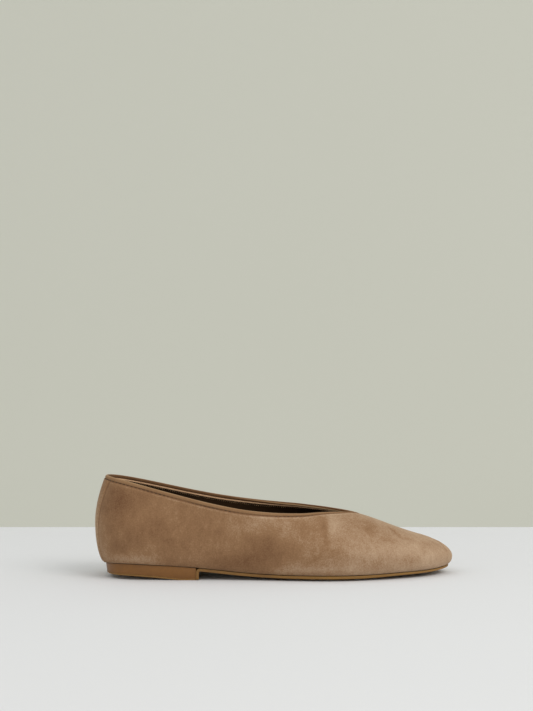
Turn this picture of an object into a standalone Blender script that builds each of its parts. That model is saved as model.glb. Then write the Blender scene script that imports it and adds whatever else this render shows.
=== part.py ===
"""A plain ballet flat for the right foot: a suede upper with a bound, pointed throat, lasted over an
insole board and closed by a thin leather sole with a low stacked heel.

The sole stands on z = 0, +X runs from the heel to the toe, +Y is the inner side of the foot, +Z is up.
Sizes are in millimetres and turned to metres where the bodies are made.
"""

import math

import bpy
import numpy as np

# Sizes of the shoe
LENGTH = 252.0  # back of the heel to the tip of the toe
BALL_WIDTH = 83.0  # widest place of the forepart
HEEL_WIDTH = 60.0  # widest place of the heel part
BACK_HEIGHT = 68.4  # floor to the leather's edge at the back
THROAT_HEIGHT = 43.0  # floor to the point of the throat
NOSE_HEIGHT = 11.8  # floor to the foremost point of the toe
SEAT_RISE = 9.0  # the heel seat's edge over the sole's top at the ball
TOE_SPRING = 3.5  # the toe's edge over the sole's top at the ball
HEEL_LIFT = 2.9  # how far the heel's back clears the floor

# Thicknesses
WALL = 1.6  # leather and lining of the upper
SOLE = 2.0  # outsole and its breast flap
SOLE_TOE = 1.5  # outsole, thinned at the toe
TOP_PIECE = 1.1  # walking piece under the heel
FILLER = 1.2  # felt on the outsole, in the hollow between the turned-in edges
INSOLE = 1.8
BINDING = 2.5  # height of the roll round the topline
BINDING_SWELL = 0.45  # how far that roll stands proud of the wall
STRIP = 0.6  # strip over the back seam
GAP = 0.3  # left between neighbouring pieces
PLAY = 0.5  # insole inside the feather line

# Other measures
MARGIN = 3.5  # leather turned in under the insole
STRIP_WIDTH = 22.0
SOLE_EDGE = 0.6  # outsole beyond the feather line
HEEL_SET_IN = 1.0  # heel inside the outsole's line, at the back
HEEL_TAPER = 0.7  # how much the heel draws in towards its foot
HEEL_KEEP = 0.35  # share of those two that is left at the heel's front corners
HEEL_RISE_RATE = 1.2  # the heel's foot is fully up before its back, by this rate
TOP_PIECE_TAPER = 0.2  # the same for the walking piece
FLAP_BEND = 2.5  # back of the flap's bend
FLAP_BEND_FRONT = 0.9  # front of it
FLAP_FOOT = 0.5  # the flap's end over the floor
BEND_MIDDLE = 0.29  # middle of a quarter bend, off each of its two lines, as a share of its radius
STRIP_FOOT = 0.22  # foot of the strip, on the wall's way from its edge (0) to its widest place (1)
STRIP_SHORT = 0.03  # the strip ends this far under the leather's edge, on the same way
LEVEL_BED = 0.35  # the underside is level this share of the way from the centre line to its edge
LEAST_MITRE = 0.45  # keeps the roll's mitre at the throat's point from growing too long
NEAR_POINT = 0.01  # nearer than this to the throat's point counts as on it
THROAT = 0.735 * LENGTH  # the throat's point, from the back
BREAST = 0.2758 * LENGTH  # front of the heel, from the back
HEEL_FLAT = 0.233 * LENGTH  # the heel lies flat on the floor ahead of this line

HALF_BALL = BALL_WIDTH / 2
HALF_HEEL = HEEL_WIDTH / 2
TREAD = SOLE + GAP  # height of the upper's underside at the ball

# Plan of each section: its foot on the centre line, the way it looks (180 is to the back, 90 to the
# side), the sideways swing of its foot, and how far it reaches to the outer and to the inner side.
PLAN = (
    # name, foot / LENGTH, turn, swing / BALL_WIDTH, outer reach, inner reach
    ("back", 0.0952, 180, 0.000, 0.806 * HALF_HEEL, 0.806 * HALF_HEEL),
    ("back corner", 0.0970, 147, 0.000, 0.842 * HALF_HEEL, 0.842 * HALF_HEEL),
    ("heel corner", 0.1050, 115, 0.000, 0.925 * HALF_HEEL, 0.925 * HALF_HEEL),
    ("heel side", 0.1500, 95, 0.000, 0.990 * HALF_HEEL, 0.985 * HALF_HEEL),
    ("breast", 0.2900, 90, 0.000, 1.010 * HALF_HEEL, 0.985 * HALF_HEEL),
    ("waist", 0.4000, 90, 0.000, 0.785 * HALF_BALL, 0.715 * HALF_BALL),
    ("arch", 0.5300, 90, 0.000, 0.905 * HALF_BALL, 0.845 * HALF_BALL),
    ("ball", 0.6500, 90, 0.005, 0.990 * HALF_BALL, 0.985 * HALF_BALL),
    ("vamp", 0.7500, 90, 0.020, 0.940 * HALF_BALL, 0.975 * HALF_BALL),
    ("toe side", 0.8350, 86, 0.034, 0.800 * HALF_BALL, 0.800 * HALF_BALL),
    ("toe corner", 0.8880, 62, 0.044, 0.612 * HALF_BALL, 0.600 * HALF_BALL),
    ("toe round", 0.9060, 31, 0.049, 0.540 * HALF_BALL, 0.538 * HALF_BALL),
    ("tip", 0.9100, 0, 0.050, LENGTH * 0.09, LENGTH * 0.09),
)

# Underside of each section, over the tread: height of its middle and of its outer and inner edge,
# and how far the wall tucks in from its widest place down to that edge.
FEATHER = (
    # name, middle, outer edge, inner edge, tuck / BALL_WIDTH
    ("back", 0.87 * SEAT_RISE, 0.80 * SEAT_RISE, 0.80 * SEAT_RISE, 0.078),
    ("back corner", 0.87 * SEAT_RISE, 0.90 * SEAT_RISE, 0.90 * SEAT_RISE, 0.074),
    ("heel corner", 0.86 * SEAT_RISE, 1.00 * SEAT_RISE, 1.00 * SEAT_RISE, 0.066),
    ("heel side", 0.80 * SEAT_RISE, 0.95 * SEAT_RISE, 0.96 * SEAT_RISE, 0.058),
    ("breast", 0.56 * SEAT_RISE, 0.67 * SEAT_RISE, 0.70 * SEAT_RISE, 0.052),
    ("waist", 0.22 * SEAT_RISE, 0.36 * SEAT_RISE, 0.46 * SEAT_RISE, 0.052),
    ("arch", 0.01 * SEAT_RISE, 0.20 * SEAT_RISE, 0.25 * SEAT_RISE, 0.050),
    ("ball", -0.03 * SEAT_RISE, 0.18 * SEAT_RISE, 0.18 * SEAT_RISE, 0.048),
    ("vamp", -0.07 * TOE_SPRING, 0.50 * TOE_SPRING, 0.50 * TOE_SPRING, 0.048),
    ("toe side", 0.06 * TOE_SPRING, 0.68 * TOE_SPRING, 0.68 * TOE_SPRING, 0.047),
    ("toe corner", 0.24 * TOE_SPRING, 0.80 * TOE_SPRING, 0.80 * TOE_SPRING, 0.046),
    ("toe round", 0.30 * TOE_SPRING, 1.05 * TOE_SPRING, 1.05 * TOE_SPRING, 0.043),
    ("tip", 0.32 * TOE_SPRING, 1.22 * TOE_SPRING, 1.22 * TOE_SPRING, 0.041),
)

# Wall of each section: height of its widest place, reach, height and lean of its top (90 is level), and
# the fullness low and high, as shares of the way to the corner in which the two end tangents meet.
WALLS = (
    # name, widest height, top reach / HEEL_WIDTH, top height, lean, low fullness, high fullness
    ("back", 0.533 * BACK_HEIGHT, 0.212, 1.183 * BACK_HEIGHT, 22.5, 0.84, 0.62),
    ("back corner", 0.515 * BACK_HEIGHT, 0.215, 1.183 * BACK_HEIGHT, 22.5, 0.81, 0.60),
    ("heel corner", 0.480 * BACK_HEIGHT, 0.221, 1.183 * BACK_HEIGHT, 23.0, 0.72, 0.58),
    ("heel side", 0.440 * BACK_HEIGHT, 0.215, 1.183 * BACK_HEIGHT, 25.0, 0.60, 0.55),
    ("breast", 0.370 * BACK_HEIGHT, 0.230, 1.183 * BACK_HEIGHT, 32.0, 0.50, 0.50),
    ("waist", 0.300 * BACK_HEIGHT, 0.130, 1.120 * BACK_HEIGHT, 57.0, 0.46, 0.48),
    ("arch", 0.250 * BACK_HEIGHT, 0.000, 0.855 * BACK_HEIGHT, 88.0, 0.46, 0.42),
    ("ball", 0.235 * BACK_HEIGHT, 0.000, 1.105 * THROAT_HEIGHT, 90.0, 0.52, 0.38),
    ("vamp", 0.225 * BACK_HEIGHT, 0.000, 0.956 * THROAT_HEIGHT, 90.0, 0.52, 0.38),
    ("toe side", 0.200 * BACK_HEIGHT, 0.000, 0.784 * THROAT_HEIGHT, 88.7, 0.54, 0.44),
    ("toe corner", 1.04 * NOSE_HEIGHT, 0.000, 0.672 * THROAT_HEIGHT, 81.5, 0.60, 0.56),
    ("toe round", 1.00 * NOSE_HEIGHT, 0.000, 0.642 * THROAT_HEIGHT, 74.3, 0.66, 0.63),
    ("tip", 1.00 * NOSE_HEIGHT, 0.000, 0.637 * THROAT_HEIGHT, 71.7, 0.68, 0.64),
)

# Height of the leather's edge along the quarters.
TOPLINE = (
    # name, outer side, inner side
    ("back", 1.000 * BACK_HEIGHT, 1.000 * BACK_HEIGHT),
    ("back corner", 0.993 * BACK_HEIGHT, 0.993 * BACK_HEIGHT),
    ("heel corner", 0.966 * BACK_HEIGHT, 0.969 * BACK_HEIGHT),
    ("heel side", 0.899 * BACK_HEIGHT, 0.917 * BACK_HEIGHT),
    ("breast", 0.758 * BACK_HEIGHT, 0.797 * BACK_HEIGHT),
    ("waist", 0.676 * BACK_HEIGHT, 0.733 * BACK_HEIGHT),
    ("arch", 0.638 * BACK_HEIGHT, 0.694 * BACK_HEIGHT),
)

# Half width of the throat, measured back from its point.
THROAT_CUT = (
    # distance / LENGTH, outer half / BALL_WIDTH, inner half / BALL_WIDTH
    (0.000, 0.000, 0.000),
    (0.020, 0.050, 0.044),
    (0.040, 0.098, 0.084),
    (0.080, 0.173, 0.140),
    (0.120, 0.232, 0.182),
    (0.160, 0.280, 0.218),
    (0.200, 0.305, 0.248),
    (0.260, 0.322, 0.268),
)
THROAT_FROM, THROAT_TO = 0.50, 0.60  # the edge goes over from its height to its half width here


def second_derivatives(knots, values):
    """Those of the smooth curve through the values, free at both ends."""
    n = len(knots)
    step = np.diff(knots)
    matrix, right = np.eye(n), np.zeros(n)
    for i in range(1, n - 1):
        matrix[i, i - 1 : i + 2] = step[i - 1], 2 * (step[i - 1] + step[i]), step[i]
        right[i] = 6 * ((values[i + 1] - values[i]) / step[i] - (values[i] - values[i - 1]) / step[i - 1])
    return np.linalg.solve(matrix, right)


def curve(knots, values):
    """The smooth curve through the values, as a function."""
    knots, values = np.asarray(knots, float), np.asarray(values, float)
    bend = second_derivatives(knots, values)

    def at(t):
        i = np.clip(np.searchsorted(knots, t, side="right") - 1, 0, len(knots) - 2)
        h = knots[i + 1] - knots[i]
        a, b = (knots[i + 1] - t) / h, (t - knots[i]) / h
        return (
            a * values[i]
            + b * values[i + 1]
            + ((a**3 - a) * bend[i] + (b**3 - b) * bend[i + 1]) * h * h / 6
        )

    return at


def column(table, *places):
    return [np.array([row[place] for row in table], float) for place in places]


def row_places():
    """Where the rows lie round the shoe: the length of its mean outline from the back to each row."""
    foot, turn, swing, outer, inner = column(PLAN, 1, 2, 3, 4, 5)
    reach = (outer + inner) / 2
    x = foot * LENGTH + reach * np.cos(np.radians(turn))
    y = reach * np.sin(np.radians(turn))
    return np.concatenate([[0.0], np.cumsum(np.hypot(np.diff(x), np.diff(y)))])


ROWS = row_places()
HALF_LAP = ROWS[-1]
LAP = 2 * HALF_LAP


def round_the_shoe(outer, inner=None, gain=0.0):
    """A smooth size round the shoe: from the back along the outer side to the tip, then back again."""
    outer = np.asarray(outer, float)
    inner = outer if inner is None else np.asarray(inner, float)
    knots = np.concatenate([ROWS, LAP - ROWS[-2:0:-1]])
    values = np.concatenate([outer, inner[-2:0:-1]])
    shifts = (-1, 0, 1)
    at = curve(
        np.concatenate([knots + n * LAP for n in shifts]),
        np.concatenate([values + n * gain for n in shifts]),
    )
    return lambda t: at(np.asarray(t, float))


FOOT, TURN, SWING, REACH_OUTER, REACH_INNER = column(PLAN, 1, 2, 3, 4, 5)
foot_at = round_the_shoe(FOOT * LENGTH)
swing_at = round_the_shoe(SWING * BALL_WIDTH)
turn_at = round_the_shoe(-TURN, TURN, 360.0)
reach_at = round_the_shoe(REACH_OUTER, REACH_INNER)

MIDDLE, EDGE_OUTER, EDGE_INNER, TUCK = column(FEATHER, 1, 2, 3, 4)
middle_at = round_the_shoe(TREAD + MIDDLE)
edge_at = round_the_shoe(TREAD + EDGE_OUTER, TREAD + EDGE_INNER)
tuck_at = round_the_shoe(TUCK * BALL_WIDTH)

WIDEST, TOP_REACH, TOP, LEAN, LOW, HIGH = column(WALLS, 1, 2, 3, 4, 5, 6)
widest_at = round_the_shoe(WIDEST)
top_at = round_the_shoe(TOP)
lean_at = round_the_shoe(LEAN)
low_at = round_the_shoe(LOW)
high_at = round_the_shoe(HIGH)

RIM_OUTER, RIM_INNER = column(TOPLINE, 1, 2)
REST = [RIM_OUTER[-1]] * (len(PLAN) - len(TOPLINE)), [RIM_INNER[-1]] * (len(PLAN) - len(TOPLINE))
rim_height_at = round_the_shoe([*RIM_OUTER, *REST[0]], [*RIM_INNER, *REST[1]])

CUT, CUT_OUTER, CUT_INNER = column(THROAT_CUT, 0, 1, 2)
cut_outer_at = curve(CUT * LENGTH, CUT_OUTER * BALL_WIDTH)
cut_inner_at = curve(CUT * LENGTH, CUT_INNER * BALL_WIDTH)


def top_reach_at(t):
    """Reach of a section's top: nought wherever the two sides meet on the ridge."""
    return np.interp(np.minimum(t % LAP, LAP - t % LAP), ROWS, TOP_REACH * HEEL_WIDTH)


def bed(t, share):
    """Height of the upper's underside, at a share of the way from the centre line to its edge."""
    rise = np.clip((share - LEVEL_BED) / (1 - LEVEL_BED), 0, 1) ** 2
    return middle_at(t) + (edge_at(t) - middle_at(t)) * rise


def feather_reach(t):
    return reach_at(t) - tuck_at(t)


def bezier(points, u):
    a, b, c, d = points
    v = 1 - u
    return a * v**3 + 3 * b * v * v * u + 3 * c * v * u * u + d * u**3


ROUND = 0.5523  # handles of a quarter round


def profile(t, w, depth=0.0):
    """Reach and height on a section. From w = -1 to 0 the leather lies under the insole, from 0 to 1 it
    climbs to its widest place, from 1 to 2 on to the top. Depth is measured in from its outer face."""
    reach, tuck, edge = reach_at(t) - depth, tuck_at(t) - depth, edge_at(t) + depth
    widest, lean = widest_at(t), np.radians(np.minimum(lean_at(t), 90.0))
    foot = reach - tuck
    under = foot + np.minimum(w, 0) * MARGIN
    u = np.clip(w, 0, 1)
    low = [foot, foot + ROUND * tuck, reach, reach]
    low_z = [edge, edge, widest - ROUND * (widest - edge), widest]
    u2 = np.clip(w - 1, 0, 1)
    end = np.maximum(top_reach_at(t) - np.round(depth * np.cos(lean), 9), 0)
    end_z = top_at(t) - depth * np.sin(lean)
    corner = end_z - (reach - end) / np.tan(lean)
    high = [reach, reach, end + high_at(t) * (reach - end), end]
    high_z = [
        widest,
        widest + low_at(t) * (corner - widest),
        end_z - high_at(t) * (end_z - corner),
        end_z,
    ]
    r = np.where(w <= 0, under, np.where(w <= 1, bezier(low, u), bezier(high, u2)))
    z = np.where(
        w <= 0,
        bed(t, under / foot) + depth,
        np.where(w <= 1, bezier(low_z, u), bezier(high_z, u2)),
    )
    return r, z


def out_from_foot(t, r, z):
    """The point that lies r out from a section's foot, at height z."""
    angle = np.radians(turn_at(t))
    return np.stack([foot_at(t) + r * np.cos(angle), swing_at(t) + r * np.sin(angle), z], -1)


def place(t, w, depth=0.0):
    r, z = profile(t, w, depth)
    return out_from_foot(t, r, z)


FINE = np.linspace(0, 1, 201)


def rim_w(t):
    """Where the leather's edge lies on each section. At the throat's point and beyond it is the ridge."""
    result = []
    for one in np.atleast_1d(t):
        r, z = profile(np.full_like(FINE, one), 1 + FINE)
        side = one % LAP
        behind = max(THROAT - float(foot_at(one)), 0.0)
        if behind < NEAR_POINT:
            result.append(2.0)
            continue
        height = np.interp(float(rim_height_at(one)), z, 1 + FINE)
        half = (cut_outer_at if side < HALF_LAP else cut_inner_at)(min(behind, CUT[-1] * LENGTH))
        width = np.interp(-float(half), -r, 1 + FINE)
        go = np.clip((float(foot_at(one)) / LENGTH - THROAT_FROM) / (THROAT_TO - THROAT_FROM), 0, 1)
        go = go * go * (3 - 2 * go)
        result.append(height * (1 - go) + width * go)
    return np.array(result)


def place_of_foot(x):
    """Where, on the outer side, a section's foot stands at x."""
    t = np.linspace(0, HALF_LAP, 4001)
    return float(np.interp(x, foot_at(t), t))


BREAST_T = place_of_foot(BREAST)
THROAT_T = place_of_foot(THROAT)


def lap_columns(*stretches):
    """Places on the outer side, evenly spaced within each stretch."""
    half = [stretches[0][0]]
    for start, end, count in stretches:
        half += list(np.linspace(start, end, count + 1)[1:])
    return np.array(half)


def mirrored(half, with_start):
    """Outer places followed by the same places on the inner side, round the tip."""
    back = half[-2::-1] if with_start else half[-2:0:-1]
    return np.concatenate([half, LAP - back])


def material(name, rgb, roughness):
    made = bpy.data.materials.new(name)
    made.use_nodes = True
    made.diffuse_color = (*rgb, 1.0)
    shader = made.node_tree.nodes["Principled BSDF"]
    shader.inputs["Base Color"].default_value = (*rgb, 1.0)
    shader.inputs["Roughness"].default_value = roughness
    return made


class Body:
    """Points and faces of one closed piece."""

    def __init__(self):
        self.points, self.faces = [], []

    def add(self, points):
        """Adds a grid of points and returns their numbers in the same grid."""
        points = np.asarray(points, float)
        start = len(self.points)
        self.points += points.reshape(-1, 3).tolist()
        return np.arange(start, len(self.points)).reshape(points.shape[:-1])

    def skin(self, numbers, around=False):
        """Four-sided faces over a grid of point numbers."""
        rows = np.vstack([numbers, numbers[:1]]) if around else numbers
        a, b, c, d = rows[:-1, :-1], rows[1:, :-1], rows[1:, 1:], rows[:-1, 1:]
        self.faces += np.stack([a, b, c, d], -1).reshape(-1, 4).tolist()

    def make(self, name, look):
        points = np.array(self.points) * 0.001
        _, first, number = np.unique(
            np.round(points * 1e6), axis=0, return_index=True, return_inverse=True
        )
        number = number.reshape(-1)
        faces = []
        for face in self.faces:
            corners = list(dict.fromkeys(int(number[i]) for i in face))
            if len(corners) > 2:
                faces.append(corners)
        points = points[first]
        volume = 0.0
        for face in faces:
            for b, c in zip(face[1:-1], face[2:]):
                volume += float(np.dot(points[face[0]], np.cross(points[b], points[c])))
        if volume < 0:
            faces = [face[::-1] for face in faces]
        mesh = bpy.data.meshes.new(name)
        mesh.from_pydata(points.tolist(), [], faces)
        mesh.materials.append(look)
        for polygon in mesh.polygons:
            polygon.use_smooth = True
        mesh.update()
        made = bpy.data.objects.new(name, mesh)
        bpy.context.scene.collection.objects.link(made)
        return made


def plate(body, upper, lower, around):
    """Closes two grids, from the centre line out to the edge, into a plate."""
    top, bottom = body.add(upper), body.add(lower)
    body.skin(top, around)
    body.skin(bottom[:, ::-1], around)
    body.skin(np.stack([top[:, -1], bottom[:, -1]], -1), around)
    if not around:
        body.skin(np.stack([top[0], bottom[0]], -1))
        body.skin(np.stack([bottom[-1], top[-1]], -1))


HEEL_PART = lap_columns((0.0, ROWS[3], 9), (ROWS[3], BREAST_T, 6))
FULL_HALF = np.concatenate(
    [HEEL_PART, lap_columns((BREAST_T, THROAT_T, 15))[1:], lap_columns((THROAT_T, HALF_LAP, 17))[1:]]
)


def upper_piece(look):
    """The leather: an outer and an inner face, joined at the topline and at the turned-in edge."""
    t = mirrored(FULL_HALF, False)
    rim = rim_w(t)
    w = np.concatenate([np.linspace(-1, 0, 3), np.linspace(0, 1, 6)[1:]])
    w = np.concatenate(
        [np.repeat(w[None], len(t), 0), 1 + np.linspace(0, 1, 9)[1:] * (rim[:, None] - 1)], 1
    )
    body = Body()
    outer = body.add(place(t[:, None], w))
    inner = body.add(place(t[:, None], w, WALL))
    body.skin(outer, True)
    body.skin(inner[:, ::-1], True)
    body.skin(np.stack([inner[:, 0], outer[:, 0]], -1), True)
    edge = np.stack([outer[:, -1], inner[:, -1]], -1)
    for a in range(len(t)):
        b = (a + 1) % len(t)
        if rim[a] < 2 or rim[b] < 2:
            body.skin(edge[[a, b]])
    return body.make("upper", look)


def rim_frames(half):
    """Along the topline: the middle of the leather's edge, the way out of the wall, and the way up."""
    t = np.concatenate([half[::-1], LAP - half[1:]])  # throat, outer side, back, inner side, throat
    rim = rim_w(t % LAP)
    outer, inner = place(t, rim), place(t, rim, WALL)
    out = outer - inner
    out /= np.linalg.norm(out, axis=1)[:, None]
    middle = (outer + inner) / 2
    along = np.gradient(middle, axis=0)
    along[0] = along[-1] = (0.0, -1.0, 0.0)
    along /= np.linalg.norm(along, axis=1)[:, None]
    up = np.cross(along, out)
    up /= np.linalg.norm(up, axis=1)[:, None]
    if up[len(t) // 2, 2] < 0:
        up = -up
    step = middle[1] - middle[0]
    step /= np.linalg.norm(step)
    mitre = 1 / max(abs(float(step @ up[0])), LEAST_MITRE)
    stretch = np.ones(len(t))
    stretch[0] = stretch[-1] = mitre
    return middle, out, up, stretch


def binding_piece(look):
    """The roll that stands on the leather's edge all round the topline."""
    half = np.concatenate([HEEL_PART, lap_columns((BREAST_T, THROAT_T, 15))[1:]])
    middle, out, up, stretch = rim_frames(half)
    half_thick = WALL / 2 + BINDING_SWELL
    section = (
        # across, up
        (0.90 * half_thick, GAP),
        (1.00 * half_thick, 0.40 * BINDING),
        (0.86 * half_thick, 0.78 * BINDING),
        (0.40 * half_thick, BINDING),
        (-0.40 * half_thick, BINDING),
        (-0.86 * half_thick, 0.78 * BINDING),
        (-1.00 * half_thick, 0.40 * BINDING),
        (-0.90 * half_thick, GAP),
    )
    grid = np.stack(
        [middle + a * out + (b * stretch)[:, None] * up for a, b in section], 1
    )
    grid[-1] = grid[0]
    body = Body()
    numbers = body.add(grid)
    body.skin(np.hstack([numbers, numbers[:, :1]]))
    return body.make("topline_binding", look)


def strip_piece(look):
    """The strip over the back seam, of one width from the seat up to the binding."""
    side = np.linspace(-0.5, 0.5, 9) * STRIP_WIDTH
    t = np.linspace(-ROWS[3], ROWS[3], 161)
    top = rim_w(t % LAP)
    faces = []
    for depth in (-GAP - STRIP, -GAP):
        rows = []
        for share in np.linspace(0, 1, 14):
            w = STRIP_FOOT + (top - STRIP_SHORT - STRIP_FOOT) * share
            found = np.interp(-side, -place(t, w, depth)[:, 1], t)
            rows.append(place(found, np.interp(found, t, w), depth))
        faces.append(np.array(rows))
    body = Body()
    outer, inner = body.add(faces[0]), body.add(faces[1])
    body.skin(outer)
    body.skin(inner[:, ::-1])
    for a, b in ((outer[0], inner[0]), (inner[-1], outer[-1])):
        body.skin(np.stack([a, b], -1))
    for a, b in ((inner[:, 0], outer[:, 0]), (outer[:, -1], inner[:, -1])):
        body.skin(np.stack([a, b], -1))
    return body.make("back_strip", look)


def insole_piece(look):
    """The board and sock the foot stands on, resting on the turned-in leather."""
    t = mirrored(FULL_HALF, False)[:, None]
    share = np.array([[0.0, 0.45, 0.75, 1.0]])
    foot = feather_reach(t)
    reach = foot - PLAY
    low = bed(t, share * reach / foot) + WALL + GAP
    lower = out_from_foot(t + 0 * share, share * reach, low)
    climb = np.linspace(0, 1, 101)
    flare = []
    for one, height in zip(t[:, 0], low[:, -1] + INSOLE):
        r, z = profile(np.full_like(climb, one), climb, WALL)
        flare.append(np.interp(height, z, r) - GAP - PLAY / 2)
    flare = np.array(flare)[:, None]
    upper = out_from_foot(t + 0 * share, share * flare, low + INSOLE)
    body = Body()
    plate(body, upper, lower, True)
    return body.make("insole", look)


def outsole_piece(look):
    """The forepart and waist of the sole, and the flap that turns down the heel's front."""
    share = np.array([[0.0, 0.4, 0.6, 0.8, 1.0]])
    start = place_of_foot(BREAST + GAP + 2 * FLAP_BEND)
    half = np.concatenate([lap_columns((start, THROAT_T, 13)), lap_columns((THROAT_T, HALF_LAP, 14))[1:]])
    t = mirrored(half, True)[:, None]
    edge = (feather_reach(t) + SOLE_EDGE) * share
    over = bed(t, edge / feather_reach(t)) - GAP
    felt = FILLER * np.interp(foot_at(t), (BREAST, BREAST + HALF_BALL), (0, 1)) * (1 - share**2) ** 2
    top = out_from_foot(t + 0 * share, edge, over + felt)
    thick = np.interp(foot_at(t), (THROAT, FOOT[-1] * LENGTH), (SOLE, SOLE_TOE))
    bottom = out_from_foot(t + 0 * share, edge, np.maximum(over - thick, 0))
    corner = place_of_foot(BREAST + GAP + FLAP_BEND)
    wide = (float(feather_reach(corner)) + SOLE_EDGE, float(feather_reach(LAP - corner)) + SOLE_EDGE)
    back = BREAST + GAP
    front = back + SOLE
    middle, middle_front = BEND_MIDDLE * FLAP_BEND, BEND_MIDDLE * FLAP_BEND_FRONT
    flap_top, flap_bottom = [], []
    for sign, reach, at in ((-1, wide[0], corner), (1, wide[1], LAP - corner)):
        y = float(swing_at(at)) + sign * reach * share[0]
        z = bed(at, share[0] * reach / float(feather_reach(at))) - GAP
        path = (
            # back face x, z; front face x, z
            (back, z * 0 + FLAP_FOOT, front, z * 0 + FLAP_FOOT),
            (back, z - FLAP_BEND, front, z - SOLE - FLAP_BEND_FRONT),
            (back + middle, z - middle, front + middle_front, z - SOLE - middle_front),
            (back + FLAP_BEND, z, front + FLAP_BEND_FRONT, z - SOLE),
        )
        flap_top.append([np.stack([y * 0 + x, y, h], -1) for x, h, _, _ in path])
        flap_bottom.append([np.stack([y * 0 + x, y, h], -1) for _, _, x, h in path])
    top = np.concatenate([flap_top[0], top, flap_top[1][::-1]])
    bottom = np.concatenate([flap_bottom[0], bottom, flap_bottom[1][::-1]])
    body = Body()
    plate(body, top, bottom, False)
    return body.make("outsole", look)


def heel_foot(x):
    """Height of the walking face over the floor: flat by the breast, then rising to the back."""
    back = (FOOT[0] * LENGTH) - REACH_OUTER[0] + TUCK[0] * BALL_WIDTH
    way = HEEL_RISE_RATE * (HEEL_FLAT - x) / (HEEL_FLAT - back)
    return HEEL_LIFT * np.sin(np.clip(way, 0, 1) * math.pi / 2)


def heel_grid(inset_top, inset_bottom, z_top, z_bottom):
    """Top and bottom grids of a heel layer, from the outer breast corner round the back."""
    half = HEEL_PART
    t = np.concatenate([half[::-1], LAP - half[1:]])[:, None]
    share = np.array([[0.0, 0.5, 1.0]])
    edge = feather_reach(t) + SOLE_EDGE
    back = np.clip((BREAST - foot_at(t)) / (BREAST - FOOT[0] * LENGTH), 0, 1)
    grids = []
    for inset, height in ((inset_top, z_top), (inset_bottom, z_bottom)):
        r = (edge - inset * (HEEL_KEEP + (1 - HEEL_KEEP) * back)) * share
        flat = out_from_foot(t + 0 * share, r, 0 * r)
        grids.append(
            np.concatenate([flat[..., :2], height(t, r / feather_reach(t), flat[..., 0])[..., None]], -1)
        )
    return grids


def heel_piece(look):
    """The stacked heel, under the seat of the upper."""
    body = Body()
    plate(
        body,
        *heel_grid(
            HEEL_SET_IN,
            HEEL_SET_IN + HEEL_TAPER,
            lambda t, share, x: bed(t, share) - GAP,
            lambda t, share, x: heel_foot(x) + TOP_PIECE + GAP,
        ),
        False,
    )
    return body.make("heel_block", look)


def top_piece_piece(look):
    """The thin walking piece under the heel."""
    body = Body()
    plate(
        body,
        *heel_grid(
            HEEL_SET_IN + HEEL_TAPER,
            HEEL_SET_IN + HEEL_TAPER + TOP_PIECE_TAPER,
            lambda t, share, x: heel_foot(x) + TOP_PIECE,
            lambda t, share, x: heel_foot(x),
        ),
        False,
    )
    return body.make("top_piece", look)


def centre_on_floor(pieces):
    """Moves the shoe so that the middle of its bounding box is over the origin and its foot is at 0."""
    points = np.array([vertex.co[:] for piece in pieces for vertex in piece.data.vertices])
    low, high = points.min(0), points.max(0)
    shift = np.array([-(low[0] + high[0]) / 2, -(low[1] + high[1]) / 2, -low[2]])
    for piece in pieces:
        for vertex in piece.data.vertices:
            vertex.co = (vertex.co.x + shift[0], vertex.co.y + shift[1], vertex.co.z + shift[2])


def main():
    for item in list(bpy.data.objects):
        bpy.data.objects.remove(item)
    suede = material("tan suede", (0.26, 0.17, 0.10), 0.95)
    bound = material("suede binding", (0.22, 0.14, 0.08), 0.92)
    strip = material("suede back strip", (0.24, 0.155, 0.09), 0.95)
    sock = material("dark sock lining", (0.06, 0.03, 0.015), 0.7)
    leather = material("tan sole leather", (0.22, 0.12, 0.05), 0.55)
    stack = material("stacked heel leather", (0.18, 0.09, 0.035), 0.5)
    rubber = material("walking piece", (0.30, 0.19, 0.10), 0.6)
    pieces = [
        upper_piece(suede),
        binding_piece(bound),
        strip_piece(strip),
        insole_piece(sock),
        outsole_piece(leather),
        heel_piece(stack),
        top_piece_piece(rubber),
    ]
    centre_on_floor(pieces)


main()
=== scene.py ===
"""The looks of a plain ballet flat for the right foot: brushed tan suede, a folded and stitched binding
round the topline, a dark lining, a thin leather sole and a low stacked heel.

The first half repeats the shoe's own shape, in millimetres and in the last's frame, from which SHIFT
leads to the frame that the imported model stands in. Each visible piece is then made finer on that shape.
"""

import math

import bpy
import numpy as np
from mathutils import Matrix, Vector
from mathutils.kdtree import KDTree


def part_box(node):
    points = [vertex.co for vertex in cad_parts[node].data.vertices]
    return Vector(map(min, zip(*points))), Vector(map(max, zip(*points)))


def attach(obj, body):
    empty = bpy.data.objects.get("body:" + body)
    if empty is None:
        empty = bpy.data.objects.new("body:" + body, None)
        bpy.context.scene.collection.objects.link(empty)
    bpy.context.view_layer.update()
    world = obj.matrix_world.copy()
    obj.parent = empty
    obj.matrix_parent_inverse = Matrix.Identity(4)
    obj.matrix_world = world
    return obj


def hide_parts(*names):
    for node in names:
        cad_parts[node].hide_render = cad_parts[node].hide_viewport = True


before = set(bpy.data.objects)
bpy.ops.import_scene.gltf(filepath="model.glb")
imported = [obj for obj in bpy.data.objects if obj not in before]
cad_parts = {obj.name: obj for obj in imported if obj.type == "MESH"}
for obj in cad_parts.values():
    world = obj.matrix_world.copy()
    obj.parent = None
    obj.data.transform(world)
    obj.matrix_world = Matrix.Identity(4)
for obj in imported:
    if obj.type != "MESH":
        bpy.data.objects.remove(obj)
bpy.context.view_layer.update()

# Sizes of the shoe
LENGTH = 252.0  # back of the heel to the tip of the toe
BALL_WIDTH = 83.0  # widest place of the forepart
HEEL_WIDTH = 60.0  # widest place of the heel part
BACK_HEIGHT = 68.4  # floor to the leather's edge at the back
THROAT_HEIGHT = 43.0  # floor to the point of the throat
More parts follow.
